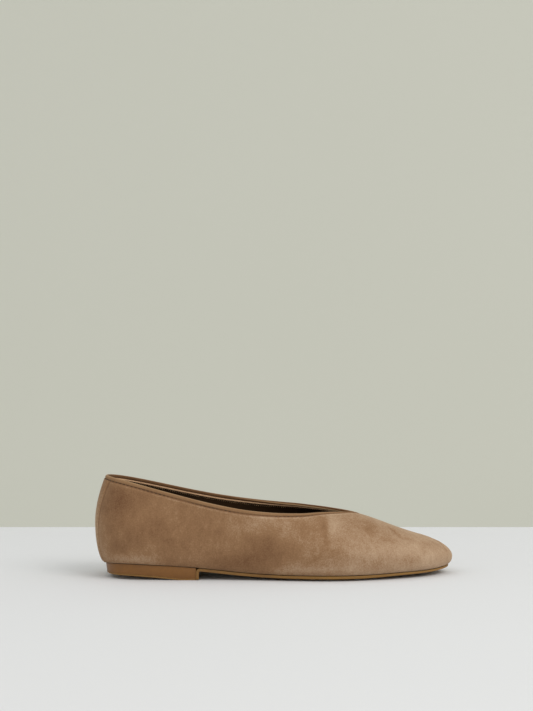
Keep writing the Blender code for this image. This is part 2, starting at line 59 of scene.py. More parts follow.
NOSE_HEIGHT = 11.8  # floor to the foremost point of the toe
SEAT_RISE = 9.0  # the heel seat's edge over the sole's top at the ball
TOE_SPRING = 3.5  # the toe's edge over the sole's top at the ball
HEEL_LIFT = 2.9  # how far the heel's back clears the floor

# Thicknesses
WALL = 1.6  # leather and lining of the upper
SOLE = 2.0  # outsole and its breast flap
SOLE_TOE = 1.5  # outsole, thinned at the toe
TOP_PIECE = 1.1  # walking piece under the heel
INSOLE = 1.8
BINDING = 2.5  # height of the roll round the topline
BINDING_SWELL = 0.45  # how far that roll stands proud of the wall
STRIP = 0.6  # strip over the back seam
GAP = 0.3  # left between neighbouring pieces
PLAY = 0.5  # insole inside the feather line

# Other measures
MARGIN = 3.5  # leather turned in under the insole
STRIP_WIDTH = 22.0
SOLE_EDGE = 0.6  # outsole beyond the feather line
HEEL_SET_IN = 1.0  # heel inside the outsole's line, at the back
HEEL_TAPER = 0.7  # how much the heel draws in towards its foot
HEEL_KEEP = 0.35  # share of those two that is left at the heel's front corners
HEEL_RISE_RATE = 1.2  # the heel's foot is fully up before its back, by this rate
TOP_PIECE_TAPER = 0.2  # how much the walking piece draws in further
FLAP_BEND = 2.5  # back of the flap's bend
FLAP_BEND_FRONT = 0.9  # front of it
FLAP_FOOT = 0.5  # the flap's end over the floor
LEVEL_BED = 0.35  # the underside is level this share of the way from the centre line to its edge
LEAST_MITRE = 0.45  # keeps the roll's mitre at the throat's point from growing too long
NEAR_POINT = 0.01  # nearer than this to the throat's point counts as on it
THROAT = 0.735 * LENGTH  # the throat's point, from the back
BREAST = 0.2758 * LENGTH  # front of the heel, from the back
HEEL_FLAT = 0.233 * LENGTH  # the heel lies flat on the floor ahead of this line

HALF_BALL = BALL_WIDTH / 2
HALF_HEEL = HEEL_WIDTH / 2
TREAD = SOLE + GAP  # height of the upper's underside at the ball

# Plan of each section: its foot on the centre line, the way it looks (180 is to the back, 90 to the
# side), the sideways swing of its foot, and how far it reaches to the outer and to the inner side.
PLAN = (
    # name, foot / LENGTH, turn, swing / BALL_WIDTH, outer reach, inner reach
    ("back", 0.0952, 180, 0.000, 0.806 * HALF_HEEL, 0.806 * HALF_HEEL),
    ("back corner", 0.0970, 147, 0.000, 0.842 * HALF_HEEL, 0.842 * HALF_HEEL),
    ("heel corner", 0.1050, 115, 0.000, 0.925 * HALF_HEEL, 0.925 * HALF_HEEL),
    ("heel side", 0.1500, 95, 0.000, 0.990 * HALF_HEEL, 0.985 * HALF_HEEL),
    ("breast", 0.2900, 90, 0.000, 1.010 * HALF_HEEL, 0.985 * HALF_HEEL),
    ("waist", 0.4000, 90, 0.000, 0.785 * HALF_BALL, 0.715 * HALF_BALL),
    ("arch", 0.5300, 90, 0.000, 0.905 * HALF_BALL, 0.845 * HALF_BALL),
    ("ball", 0.6500, 90, 0.005, 0.990 * HALF_BALL, 0.985 * HALF_BALL),
    ("vamp", 0.7500, 90, 0.020, 0.940 * HALF_BALL, 0.975 * HALF_BALL),
    ("toe side", 0.8350, 86, 0.034, 0.800 * HALF_BALL, 0.800 * HALF_BALL),
    ("toe corner", 0.8880, 62, 0.044, 0.612 * HALF_BALL, 0.600 * HALF_BALL),
    ("toe round", 0.9060, 31, 0.049, 0.540 * HALF_BALL, 0.538 * HALF_BALL),
    ("tip", 0.9100, 0, 0.050, LENGTH * 0.09, LENGTH * 0.09),
)

# Underside of each section, over the tread: height of its middle and of its outer and inner edge,
# and how far the wall tucks in from its widest place down to that edge.
FEATHER = (
    # name, middle, outer edge, inner edge, tuck / BALL_WIDTH
    ("back", 0.87 * SEAT_RISE, 0.80 * SEAT_RISE, 0.80 * SEAT_RISE, 0.078),
    ("back corner", 0.87 * SEAT_RISE, 0.90 * SEAT_RISE, 0.90 * SEAT_RISE, 0.074),
    ("heel corner", 0.86 * SEAT_RISE, 1.00 * SEAT_RISE, 1.00 * SEAT_RISE, 0.066),
    ("heel side", 0.80 * SEAT_RISE, 0.95 * SEAT_RISE, 0.96 * SEAT_RISE, 0.058),
    ("breast", 0.56 * SEAT_RISE, 0.67 * SEAT_RISE, 0.70 * SEAT_RISE, 0.052),
    ("waist", 0.22 * SEAT_RISE, 0.36 * SEAT_RISE, 0.46 * SEAT_RISE, 0.052),
    ("arch", 0.01 * SEAT_RISE, 0.20 * SEAT_RISE, 0.25 * SEAT_RISE, 0.050),
    ("ball", -0.03 * SEAT_RISE, 0.18 * SEAT_RISE, 0.18 * SEAT_RISE, 0.048),
    ("vamp", -0.07 * TOE_SPRING, 0.50 * TOE_SPRING, 0.50 * TOE_SPRING, 0.048),
    ("toe side", 0.06 * TOE_SPRING, 0.68 * TOE_SPRING, 0.68 * TOE_SPRING, 0.047),
    ("toe corner", 0.24 * TOE_SPRING, 0.80 * TOE_SPRING, 0.80 * TOE_SPRING, 0.046),
    ("toe round", 0.30 * TOE_SPRING, 1.05 * TOE_SPRING, 1.05 * TOE_SPRING, 0.043),
    ("tip", 0.32 * TOE_SPRING, 1.22 * TOE_SPRING, 1.22 * TOE_SPRING, 0.041),
)

# Wall of each section: height of its widest place, reach, height and lean of its top (90 is level), and
# the fullness low and high, as shares of the way to the corner in which the two end tangents meet.
WALLS = (
    # name, widest height, top reach / HEEL_WIDTH, top height, lean, low fullness, high fullness
    ("back", 0.533 * BACK_HEIGHT, 0.212, 1.183 * BACK_HEIGHT, 22.5, 0.84, 0.62),
    ("back corner", 0.515 * BACK_HEIGHT, 0.215, 1.183 * BACK_HEIGHT, 22.5, 0.81, 0.60),
    ("heel corner", 0.480 * BACK_HEIGHT, 0.221, 1.183 * BACK_HEIGHT, 23.0, 0.72, 0.58),
    ("heel side", 0.440 * BACK_HEIGHT, 0.215, 1.183 * BACK_HEIGHT, 25.0, 0.60, 0.55),
    ("breast", 0.370 * BACK_HEIGHT, 0.230, 1.183 * BACK_HEIGHT, 32.0, 0.50, 0.50),
    ("waist", 0.300 * BACK_HEIGHT, 0.130, 1.120 * BACK_HEIGHT, 57.0, 0.46, 0.48),
    ("arch", 0.250 * BACK_HEIGHT, 0.000, 0.855 * BACK_HEIGHT, 88.0, 0.46, 0.42),
    ("ball", 0.235 * BACK_HEIGHT, 0.000, 1.105 * THROAT_HEIGHT, 90.0, 0.52, 0.38),
    ("vamp", 0.225 * BACK_HEIGHT, 0.000, 0.956 * THROAT_HEIGHT, 90.0, 0.52, 0.38),
    ("toe side", 0.200 * BACK_HEIGHT, 0.000, 0.784 * THROAT_HEIGHT, 88.7, 0.54, 0.44),
    ("toe corner", 1.04 * NOSE_HEIGHT, 0.000, 0.672 * THROAT_HEIGHT, 81.5, 0.60, 0.56),
    ("toe round", 1.00 * NOSE_HEIGHT, 0.000, 0.642 * THROAT_HEIGHT, 74.3, 0.66, 0.63),
    ("tip", 1.00 * NOSE_HEIGHT, 0.000, 0.637 * THROAT_HEIGHT, 71.7, 0.68, 0.64),
)

# Height of the leather's edge along the quarters.
TOPLINE = (
    # name, outer side, inner side
    ("back", 1.000 * BACK_HEIGHT, 1.000 * BACK_HEIGHT),
    ("back corner", 0.993 * BACK_HEIGHT, 0.993 * BACK_HEIGHT),
    ("heel corner", 0.966 * BACK_HEIGHT, 0.969 * BACK_HEIGHT),
    ("heel side", 0.899 * BACK_HEIGHT, 0.917 * BACK_HEIGHT),
    ("breast", 0.758 * BACK_HEIGHT, 0.797 * BACK_HEIGHT),
    ("waist", 0.676 * BACK_HEIGHT, 0.733 * BACK_HEIGHT),
    ("arch", 0.638 * BACK_HEIGHT, 0.694 * BACK_HEIGHT),
)

# Half width of the throat, measured back from its point.
THROAT_CUT = (
    # distance / LENGTH, outer half / BALL_WIDTH, inner half / BALL_WIDTH
    (0.000, 0.000, 0.000),
    (0.020, 0.050, 0.044),
    (0.040, 0.098, 0.084),
    (0.080, 0.173, 0.140),
    (0.120, 0.232, 0.182),
    (0.160, 0.280, 0.218),
    (0.200, 0.305, 0.248),
    (0.260, 0.322, 0.268),
)
THROAT_FROM, THROAT_TO = 0.50, 0.60  # the edge goes over from its height to its half width here


def second_derivatives(knots, values):
    """Those of the smooth curve through the values, free at both ends."""
    n = len(knots)
    step = np.diff(knots)
    matrix, right = np.eye(n), np.zeros(n)
    for i in range(1, n - 1):
        matrix[i, i - 1 : i + 2] = step[i - 1], 2 * (step[i - 1] + step[i]), step[i]
        right[i] = 6 * ((values[i + 1] - values[i]) / step[i] - (values[i] - values[i - 1]) / step[i - 1])
    return np.linalg.solve(matrix, right)


def curve(knots, values):
    """The smooth curve through the values, as a function."""
    knots, values = np.asarray(knots, float), np.asarray(values, float)
    bend = second_derivatives(knots, values)

    def at(t):
        i = np.clip(np.searchsorted(knots, t, side="right") - 1, 0, len(knots) - 2)
        h = knots[i + 1] - knots[i]
        a, b = (knots[i + 1] - t) / h, (t - knots[i]) / h
        return (
            a * values[i]
            + b * values[i + 1]
            + ((a**3 - a) * bend[i] + (b**3 - b) * bend[i + 1]) * h * h / 6
        )

    return at


def column(table, *places):
    """The columns of a table that stand at these places."""
    return [np.array([row[place] for row in table], float) for place in places]


def row_places():
    """Where the rows lie round the shoe: the length of its mean outline from the back to each row."""
    foot, turn, outer, inner = column(PLAN, 1, 2, 4, 5)
    reach = (outer + inner) / 2
    x = foot * LENGTH + reach * np.cos(np.radians(turn))
    y = reach * np.sin(np.radians(turn))
    return np.concatenate([[0.0], np.cumsum(np.hypot(np.diff(x), np.diff(y)))])


ROWS = row_places()
HALF_LAP = ROWS[-1]
LAP = 2 * HALF_LAP


def round_the_shoe(outer, inner=None, gain=0.0):
    """A smooth size round the shoe: from the back along the outer side to the tip, then back again."""
    outer = np.asarray(outer, float)
    inner = outer if inner is None else np.asarray(inner, float)
    knots = np.concatenate([ROWS, LAP - ROWS[-2:0:-1]])
    values = np.concatenate([outer, inner[-2:0:-1]])
    shifts = (-1, 0, 1)
    at = curve(
        np.concatenate([knots + n * LAP for n in shifts]),
        np.concatenate([values + n * gain for n in shifts]),
    )
    return lambda t: at(np.asarray(t, float))


FOOT, TURN, SWING, REACH_OUTER, REACH_INNER = column(PLAN, 1, 2, 3, 4, 5)
foot_at = round_the_shoe(FOOT * LENGTH)
swing_at = round_the_shoe(SWING * BALL_WIDTH)
turn_at = round_the_shoe(-TURN, TURN, 360.0)
reach_at = round_the_shoe(REACH_OUTER, REACH_INNER)

MIDDLE, EDGE_OUTER, EDGE_INNER, TUCK = column(FEATHER, 1, 2, 3, 4)
middle_at = round_the_shoe(TREAD + MIDDLE)
edge_at = round_the_shoe(TREAD + EDGE_OUTER, TREAD + EDGE_INNER)
tuck_at = round_the_shoe(TUCK * BALL_WIDTH)

WIDEST, TOP_REACH, TOP, LEAN, LOW, HIGH = column(WALLS, 1, 2, 3, 4, 5, 6)
widest_at = round_the_shoe(WIDEST)
top_at = round_the_shoe(TOP)
lean_at = round_the_shoe(LEAN)
low_at = round_the_shoe(LOW)
high_at = round_the_shoe(HIGH)

RIM_OUTER, RIM_INNER = column(TOPLINE, 1, 2)
REST = [RIM_OUTER[-1]] * (len(PLAN) - len(TOPLINE)), [RIM_INNER[-1]] * (len(PLAN) - len(TOPLINE))
rim_height_at = round_the_shoe([*RIM_OUTER, *REST[0]], [*RIM_INNER, *REST[1]])

CUT, CUT_OUTER, CUT_INNER = column(THROAT_CUT, 0, 1, 2)
cut_outer_at = curve(CUT * LENGTH, CUT_OUTER * BALL_WIDTH)
cut_inner_at = curve(CUT * LENGTH, CUT_INNER * BALL_WIDTH)


def top_reach_at(t):
    """Reach of a section's top: nought wherever the two sides meet on the ridge."""
    return np.interp(np.minimum(t % LAP, LAP - t % LAP), ROWS, TOP_REACH * HEEL_WIDTH)


def bed(t, share):
    """Height of the upper's underside, at a share of the way from the centre line to its edge."""
    rise = np.clip((share - LEVEL_BED) / (1 - LEVEL_BED), 0, 1) ** 2
    return middle_at(t) + (edge_at(t) - middle_at(t)) * rise


def feather_reach(t):
    """Reach of the line along which the leather turns in under the foot."""
    return reach_at(t) - tuck_at(t)


def bezier(points, u):
    """The curve from the first point to the last, drawn by the two between them."""
    a, b, c, d = points
    v = 1 - u
    return a * v**3 + 3 * b * v * v * u + 3 * c * v * u * u + d * u**3


ROUND = 0.5523  # handles of a quarter round


def profile(t, w, depth=0.0):
    """Reach and height on a section. From w = -1 to 0 the leather lies under the insole, from 0 to 1 it
    climbs to its widest place, from 1 to 2 on to the top. Depth is measured in from its outer face."""
    reach, tuck, edge = reach_at(t) - depth, tuck_at(t) - depth, edge_at(t) + depth
    widest, lean = widest_at(t), np.radians(np.minimum(lean_at(t), 90.0))
    foot = reach - tuck
    under = foot + np.minimum(w, 0) * MARGIN
    u = np.clip(w, 0, 1)
    low = [foot, foot + ROUND * tuck, reach, reach]
    low_z = [edge, edge, widest - ROUND * (widest - edge), widest]
    u2 = np.clip(w - 1, 0, 1)
    end = np.maximum(top_reach_at(t) - np.round(depth * np.cos(lean), 9), 0)
    end_z = top_at(t) - depth * np.sin(lean)
    corner = end_z - (reach - end) / np.tan(lean)
    high = [reach, reach, end + high_at(t) * (reach - end), end]
    high_z = [
        widest,
        widest + low_at(t) * (corner - widest),
        end_z - high_at(t) * (end_z - corner),
        end_z,
    ]
    r = np.where(w <= 0, under, np.where(w <= 1, bezier(low, u), bezier(high, u2)))
    z = np.where(
        w <= 0,
        bed(t, under / foot) + depth,
        np.where(w <= 1, bezier(low_z, u), bezier(high_z, u2)),
    )
    return r, z


def out_from_foot(t, r, z):
    """The point that lies r out from a section's foot, at height z."""
    angle = np.radians(turn_at(t))
    return np.stack([foot_at(t) + r * np.cos(angle), swing_at(t) + r * np.sin(angle), z], -1)


def place(t, w, depth=0.0):
    """The point of the wall at a place round the shoe, on its way up, at a depth in it."""
    r, z = profile(t, w, depth)
    return out_from_foot(t, r, z)


FINE = np.linspace(0, 1, 201)


def rim_w(t):
    """Where the leather's edge lies on each section. At the throat's point and beyond it is the ridge."""
    result = []
    for one in np.atleast_1d(t):
        r, z = profile(np.full_like(FINE, one), 1 + FINE)
        side = one % LAP
        behind = max(THROAT - float(foot_at(one)), 0.0)
        if behind < NEAR_POINT:
            result.append(2.0)
            continue
        height = np.interp(float(rim_height_at(one)), z, 1 + FINE)
        half = (cut_outer_at if side < HALF_LAP else cut_inner_at)(min(behind, CUT[-1] * LENGTH))
        width = np.interp(-float(half), -r, 1 + FINE)
        ahead = float(foot_at(one)) / LENGTH
        go = np.clip((ahead - THROAT_FROM) / (THROAT_TO - THROAT_FROM), 0, 1)
        go = go * go * (3 - 2 * go)
        result.append(height * (1 - go) + width * go)
    return np.array(result)


def place_of_foot(x):
    """Where, on the outer side, a section's foot stands at x."""
    t = np.linspace(0, HALF_LAP, 4001)
    return float(np.interp(x, foot_at(t), t))


BREAST_T = place_of_foot(BREAST)
THROAT_T = place_of_foot(THROAT)


def mirrored(half, with_start):
    """Outer places followed by the same places on the inner side, round the tip."""
    back = half[-2::-1] if with_start else half[-2:0:-1]
    return np.concatenate([half, LAP - back])


class Body:
    """Points and faces of one closed piece."""

    def __init__(self):
        self.points, self.faces = [], []

    def add(self, points):
        """Adds a grid of points and returns their numbers in the same grid."""
        points = np.asarray(points, float)
        start = len(self.points)
        self.points += points.reshape(-1, 3).tolist()
        return np.arange(start, len(self.points)).reshape(points.shape[:-1])

    def skin(self, numbers, around=False):
        """Four-sided faces over a grid of point numbers."""
        rows = np.vstack([numbers, numbers[:1]]) if around else numbers
        a, b, c, d = rows[:-1, :-1], rows[1:, :-1], rows[1:, 1:], rows[:-1, 1:]
        self.faces += np.stack([a, b, c, d], -1).reshape(-1, 4).tolist()

    def make(self, name, look):
        points = (np.array(self.points) + SHIFT) * 0.001
        _, first, number = np.unique(
            np.round(points * 1e6), axis=0, return_index=True, return_inverse=True
        )
        number = number.reshape(-1)
        faces = []
        for face in self.faces:
            corners = list(dict.fromkeys(int(number[i]) for i in face))
            if len(corners) > 2:
                faces.append(corners)
        points = points[first]
        volume = 0.0
        for face in faces:
            for b, c in zip(face[1:-1], face[2:]):
                volume += float(np.dot(points[face[0]], np.cross(points[b], points[c])))
        if volume < 0:
            faces = [face[::-1] for face in faces]
        mesh = bpy.data.meshes.new(name)
        mesh.from_pydata(points.tolist(), [], faces)
        mesh.materials.append(look)
        for polygon in mesh.polygons:
            polygon.use_smooth = True
        mesh.update()
        made = bpy.data.objects.new(name, mesh)
        bpy.context.scene.collection.objects.link(made)
        return made


def plate(body, upper, lower, around):
    """Closes two grids, from the centre line out to the edge, into a plate."""
    top, bottom = body.add(upper), body.add(lower)
    body.skin(top, around)
    body.skin(bottom[:, ::-1], around)
    body.skin(np.stack([top[:, -1], bottom[:, -1]], -1), around)
    if not around:
        body.skin(np.stack([top[0], bottom[0]], -1))
        body.skin(np.stack([bottom[-1], top[-1]], -1))
    return top, bottom


def rim_frames(half):
    """Along the topline: the middle of the leather's edge, the way out of the wall, and the way up."""
    t = np.concatenate([half[::-1], LAP - half[1:]])  # throat, outer side, back, inner side, throat
    rim = rim_w(t % LAP)
    outer, inner = place(t, rim), place(t, rim, WALL)
    out = outer - inner
    out /= np.linalg.norm(out, axis=1)[:, None]
    middle = (outer + inner) / 2
    along = np.gradient(middle, axis=0)
    along[0] = along[-1] = (0.0, -1.0, 0.0)
    along /= np.linalg.norm(along, axis=1)[:, None]
    up = np.cross(along, out)
    up /= np.linalg.norm(up, axis=1)[:, None]
    if up[len(t) // 2, 2] < 0:
        up = -up
    step = middle[1] - middle[0]
    step /= np.linalg.norm(step)
    mitre = 1 / max(abs(float(step @ up[0])), LEAST_MITRE)
    stretch = np.ones(len(t))
    stretch[0] = stretch[-1] = mitre
    return middle, out, up, stretch


def heel_foot(x):
    """Height of the walking face over the floor: flat by the breast, then rising to the back."""
    back = (FOOT[0] * LENGTH) - REACH_OUTER[0] + TUCK[0] * BALL_WIDTH
    way = HEEL_RISE_RATE * (HEEL_FLAT - x) / (HEEL_FLAT - back)
    return HEEL_LIFT * np.sin(np.clip(way, 0, 1) * math.pi / 2)


def shift_to_frame():
    """From the last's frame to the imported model's, from the upper's widest line in both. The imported
    model is centred on the floor."""
    widest = place(np.linspace(0, LAP, 721), 1.0)
    low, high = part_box("upper")
    middle = (widest[:, 1].min() + widest[:, 1].max()) / 2
    return np.array([1000 * high.x - widest[:, 0].max(), 500 * (low.y + high.y) - middle, 0.0])


SHIFT = shift_to_frame()

# Sizes that only the looks have
SUEDE = 0.9  # suede, the rest of the wall being lining
LINING_GAP = 0.05  # the lining's face lies this far under the suede's
STITCH, STITCH_GAP = 2.0, 0.9
BINDING_SEAM = 0.45  # how far under the leather's edge the binding's seam is sewn
THREAD, THREAD_RISE = 0.45, 0.12  # its thread, and how far a stitch stands up
WHIP_PITCH, WHIP_TOP, WHIP_FOOT = 1.5, 0.9, 2.3  # the lining's stitches, and their ends under the edge
WHIP_SLANT, WHIP_THREAD, WHIP_RISE = 0.7, 0.6, 0.3  # how far each runs along, its thread and its rise
WHIP_END = 0.93  # they end at this share of the way to the throat's point
RAW_EDGE = 0.9  # cut edge of the binding, inside
RAW_EDGE_CLIMB = 1.0  # how much higher it lies along the vamp
VAMP_FROM, VAMP_FULL = 90.0, 150.0  # between these the topline goes over from the quarters to the vamp
JUST_UNDER = 0.01  # a step down the wall from its edge, on its way up
ROLL_TURN = 0.357  # the roll turns from its outer to its inner side over this share of its half thickness
CROWN_LIGHT, INSIDE_DARK = 0.5, 0.75  # painted highlight on the crown, painted shade inside: quarters, outer side
FOLD_LIGHT, CROWN_DARK = 1.4, 1.3  # painted light on the fold, painted shade on the crown: inner vamp

SEAM_DARK, SEAM_GONE = 0.72, 1.15  # painted shade and some wear in a seam's hollow: full to here, and where it ends
SEAM_RIDGE, RIDGE_REACH = 1.9, 0.45  # where the suede beside it stands up, and how far to each side
RIDGE_LIGHT = 0.45  # painted highlight there, on the suede that stands up
STRIP_SEAM_OFF = 0.3  # the painted shadow line beside the strip, off its edge
STRIP_SEAM_DARK, STRIP_SEAM_GONE = 0.12, 0.72  # and as above, to both sides of that line
STRIP_SEAM_FROM, STRIP_SEAM_FULL = 36.0, 50.0  # heights between which it opens
BACK_PART = 0.25 * LENGTH  # it ends behind this line

STRIP_EDGE = 0.12  # thickness left at the strip's turned-in edges
STRIP_TURN = 0.05  # the edges curve over this share of its width
STRIP_FLAT = 0.25  # share of its thickness left at its foot, where it is hammered flat
STRIP_FULL = 0.6  # it has its full thickness from this share of its way up
STRIP_LOW, STRIP_HIGH = 0.2, 0.012  # the strip's foot, and how far it ends under the leather's edge
STRIP_INNER = 0.02  # the strip's inner face, over the upper
STRIP_SEAM_IN = 1.2  # its two seams, in from its edges
STRIP_THREAD, STRIP_RISE = 0.36, 0.08
STRIP_LEAN = 0.12  # how far a stitch of the strip looks to its own side
STRIP_SEAM_FOOT, STRIP_SEAM_TOP = 0.02, 0.985  # shares of the strip's way up between which it is sewn
FIRST_STITCH = 0.6  # this far from the seam's foot
STRIP_NAP, STRIP_PAINTED_LIGHT, STRIP_LIGHT_AT, STRIP_LIGHT_REACH = -0.15, 0.55, 36.0, 20.0  # its brushed tone, and a painted highlight: how light, its height, its reach

SOCK_PRESSED = ((30.0, 24.0, 0.40), (178.0, 26.0, 0.48))  # under heel and ball: middle, reach, depth
SOCK_DROP = 0.35  # how far the sock's edge is drawn down
FLAP_GAP = 0.05  # the flap is glued to the heel's front
HEEL_GAP = 0.04  # and the walking piece to the heel
HEEL_OVERHANG = 0.1  # the walking piece stands out from under the heel
SOLE_ROUND, HEEL_ROUND, TOP_PIECE_ROUND = 0.25, 0.15, 0.2  # rounding of their edges
ROUND_STEPS, ROUND_FROM = 3, 35.0  # steps of a rounding, and the least bend of the edges that get it

RIM_HALF = np.linspace(0, THROAT_T, 210)  # places along the topline, back to throat
TOE_HALF = np.linspace(THROAT_T, HALF_LAP, 87)  # and on from there over the toe
UPPER_PLACES = mirrored(np.concatenate([RIM_HALF[:-1], TOE_HALF]), False)
SUEDE_ROWS = (4, 20, 42)  # under the insole, up to the widest place, and on to the topline
LINING_ROWS = (4, 12, 24)
HIDDEN_ROWS = (4, 6, 12)  # on the suede's inner face
NEAR_RIM = np.array([2.4, 1.8, 1.4, 1.1, 0.85, 0.6, 0.35, 0.15, 0.0])  # rows close under the edge, in mm


def fade_in(x, start, end):
    """0 up to the start, 1 from the end on."""
    return np.clip((x - start) / (end - start), 0, 1)


def bell(x, middle, reach):
    """1 at the middle, and fading out to both sides."""
    return np.exp(-(((x - middle) / reach) ** 2))


def run_of(line):
    """How far along a line of points each of them lies."""
    return np.concatenate([[0.0], np.cumsum(np.linalg.norm(np.diff(line, axis=0), axis=1))])


def point_at(distance, run, line):
    """The point that lies this far along the line."""
    return np.array([np.interp(distance, run, line[:, k]) for k in range(3)])


class Patch:
    """A patch of brushing, on the outer side with painted shade and light: middle, radii, lightness."""

    def __init__(self, x, z, across, up, light):
        self.x, self.z, self.across, self.up, self.light = x, z, across, up, light

    def share(self, x, z):
        """How much of the patch there is at a place."""
        return bell(x, self.x, self.across) * bell(z, self.z, self.up)


# Patches of the outer side, partly brushed and partly painted shade and light
OUTER_BRUSHED_AND_PAINTED_PATCHES = (
    # x, height, half length, half height, lightness
    Patch(18, 55, 16, 12, -0.95),
    Patch(34, 36, 20, 9, -0.30),
    Patch(117, 24, 17, 10, -0.60),
    Patch(98, 14, 16, 7, -0.80),
    Patch(68, 16, 12, 6, 0.22),
    Patch(158, 33, 2.2, 11, -0.38),
    Patch(189, 34.5, 8, 4, -0.42),
    Patch(86, 34, 8, 6, -0.35),
    Patch(20, 24, 12, 6, -0.32),
    Patch(164, 23, 7, 7, -0.25),
    Patch(140, 17, 12, 6, -0.25),
    Patch(192, 10, 6, 4, -0.22),
    Patch(213, 14, 11, 4, -0.28),
    Patch(230, 22, 6, 3, -0.25),
    Patch(27, 15, 13, 2.6, 0.50),
    Patch(150, 8.5, 22, 2.4, 0.50),
    Patch(164, 38, 4, 5, 0.35),
    Patch(201, 17, 12, 6, 0.15),
    Patch(236, 13, 12, 6, 0.12),
    Patch(8, 25, 4, 8, 0.30),
    Patch(107, 39, 18, 7, 0.35),
    Patch(176, 23, 9, 10, 0.10),
)
# And of the inner side, which the hand brushes the other way
INNER_PATCHES = (
    Patch(26, 50, 12, 9, -0.45),
    Patch(70, 20, 14, 8, -0.50),
    Patch(120, 30, 12, 7, 0.35),
    Patch(150, 12, 20, 5, 0.45),
    Patch(176, 30, 8, 6, -0.35),
    Patch(205, 15, 12, 5, 0.30),
    Patch(226, 20, 8, 5, -0.30),
    Patch(45, 36, 14, 10, 0.25),
)
# Painted light and sheen, with a little of the suede's own tone, lighter towards the toe: places and
# lightness
TONE_AND_PAINTED_LIGHT_ALONG = ((0, 60, 100, 130, 185, 252), (0.0, -0.12, -0.08, 0.07, 0.48, 1.00))


class Crease:
    """A soft trough from one point to another, seen from above, with the roll of leather beside it."""

    def __init__(self, start, end, depth, half_width):
        self.start, self.end = np.array(start, float), np.array(end, float)
        self.depth, self.half_width = depth, half_width

    def relief(self, x, y):
        """How far the leather stands up at a place. The crease fades out towards both its ends."""
        along = self.end - self.start
        length = float(np.hypot(*along))
        along = along / length
        dx, dy = x - self.start[0], y - self.start[1]
        run = (dx * along[0] + dy * along[1]) / length
        off = (dx * -along[1] + dy * along[0]) / self.half_width
        fade = np.exp(-(((run - 0.5) / 0.42) ** 4))
        return fade * self.depth * (0.45 * bell(off, 1.5, 1) - bell(off, 0, 1))


# Creases over the toes, where the vamp has been flexed and the toe has been pressed
CREASES = (
    # from, to, depth, half width
    Crease((203.0, -8.0), (214.0, -21.0), 0.50, 2.0),
    Crease((212.0, -19.0), (222.0, -15.5), 0.26, 1.8),
    Crease((197.0, -28.0), (211.0, -23.5), 0.30, 1.9),
    Crease((239.0, 5.0), (247.5, -8.0), 0.50, 1.6),
    Crease((227.0, -15.5), (235.0, -12.0), 0.30, 1.5),
    Crease((159.0, -22.0), (156.5, -36.0), 0.18, 3.0),
    Crease((204.0, 10.0), (213.0, 24.0), 0.45, 1.9),
    Crease((216.0, 20.0), (226.0, 13.0), 0.30, 1.7),
)
SWELLS = ((0.22, 31.0, 19.0, 0.4), (0.13, 17.0, 11.0, 2.1))  # height, lengths along and round, phase
# Over these stretches, from the floor and from the back, the swells and the creases come in
SWELLS_UP, SWELLS_AHEAD, CREASES_UP = (12.0, 26.0), (12.0, 37.0), (12.0, 18.0)
CREASE_PAINTED_SHADE_AND_LIGHT = 0.9  # painted shade in the trough, painted highlight on the roll, per relief
SIDE_BLEND = 5.0  # the two sides' patches go over into each other this far from the centre line
# A block inside the shoe: the suede's outer face looks away from it
CORE_LOW, CORE_HIGH = (24.0, 0.0, 12.0), (229.0, 0.0, 24.0)


def relief_of_suede(points):
    """How far the worn suede stands out of the clean shape: slow swells and the creases."""
    x, y, z = points.T
    out = np.zeros(len(points))
    for height, along, across, phase in SWELLS:
        out += height * np.sin(x / along * 2 + phase) * np.sin((y + z) / across * 2 + 1.7 * phase)
    out *= fade_in(z, *SWELLS_UP) * fade_in(x, *SWELLS_AHEAD)
    for crease in CREASES:
        out += crease.relief(x, y) * fade_in(z, *CREASES_UP)
    return out


def brushing_and_painted_light_of_suede(points):
    """How light the suede reads, -1 to 1: brushing, and painted shade and light on patches, creases and toe.
    """
    x, y, z = points.T
    nap_and_light = np.zeros(len(points))
    side = np.clip(y / SIDE_BLEND, -1, 1)
    for patches, weight in ((OUTER_BRUSHED_AND_PAINTED_PATCHES, (1 - side) / 2), (INNER_PATCHES, (1 + side) / 2)):
        for patch in patches:
            nap_and_light += weight * patch.light * patch.share(x, z)
    for crease in CREASES:
        nap_and_light += CREASE_PAINTED_SHADE_AND_LIGHT * crease.relief(x, y)
    nap_and_light += np.interp(x, *TONE_AND_PAINTED_LIGHT_ALONG)
    return np.clip(nap_and_light, -1, 1)


def ride_along(piece):
    """The piece moves with the shoe."""
    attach(piece, "root")
    return piece


def keep(piece, node, sharp=None):
    """The same for a piece that stands for its plain solid. Bends over this many degrees stay sharp."""
    if sharp:
        piece.data.set_sharp_from_angle(angle=math.radians(sharp))
    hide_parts(node)
    return ride_along(piece)


def nearest_of(piece, points):
    """For each vertex of the piece, the number of the nearest of these points."""
    points = np.asarray(points, float).reshape(-1, 3) + SHIFT
    tree = KDTree(len(points))
    for number, point in enumerate(points * 0.001):
        tree.insert(point, number)
    tree.balance()
    return [tree.find(vertex.co)[1] for vertex in piece.data.vertices]


def mark(piece, name, values):
    """Gives each vertex of the piece its value under this name."""
    values = np.asarray(values, np.float32).reshape(-1)
    piece.data.attributes.new(name, "FLOAT", "POINT").data.foreach_set("value", values)


def rounded(piece, width):
    """Rounds the piece's edges, as a rasp and a wheel do."""
    bevel = piece.modifiers.new("edges", "BEVEL")
    bevel.width, bevel.segments = width * 0.001, ROUND_STEPS
    bevel.limit_method, bevel.angle_limit = "ANGLE", math.radians(ROUND_FROM)
    bevel.use_clamp_overlap = True
    graph = bpy.context.evaluated_depsgraph_get()
    made = bpy.data.meshes.new_from_object(piece.evaluated_get(graph))
    piece.modifiers.clear()
    piece.data = made
    return piece


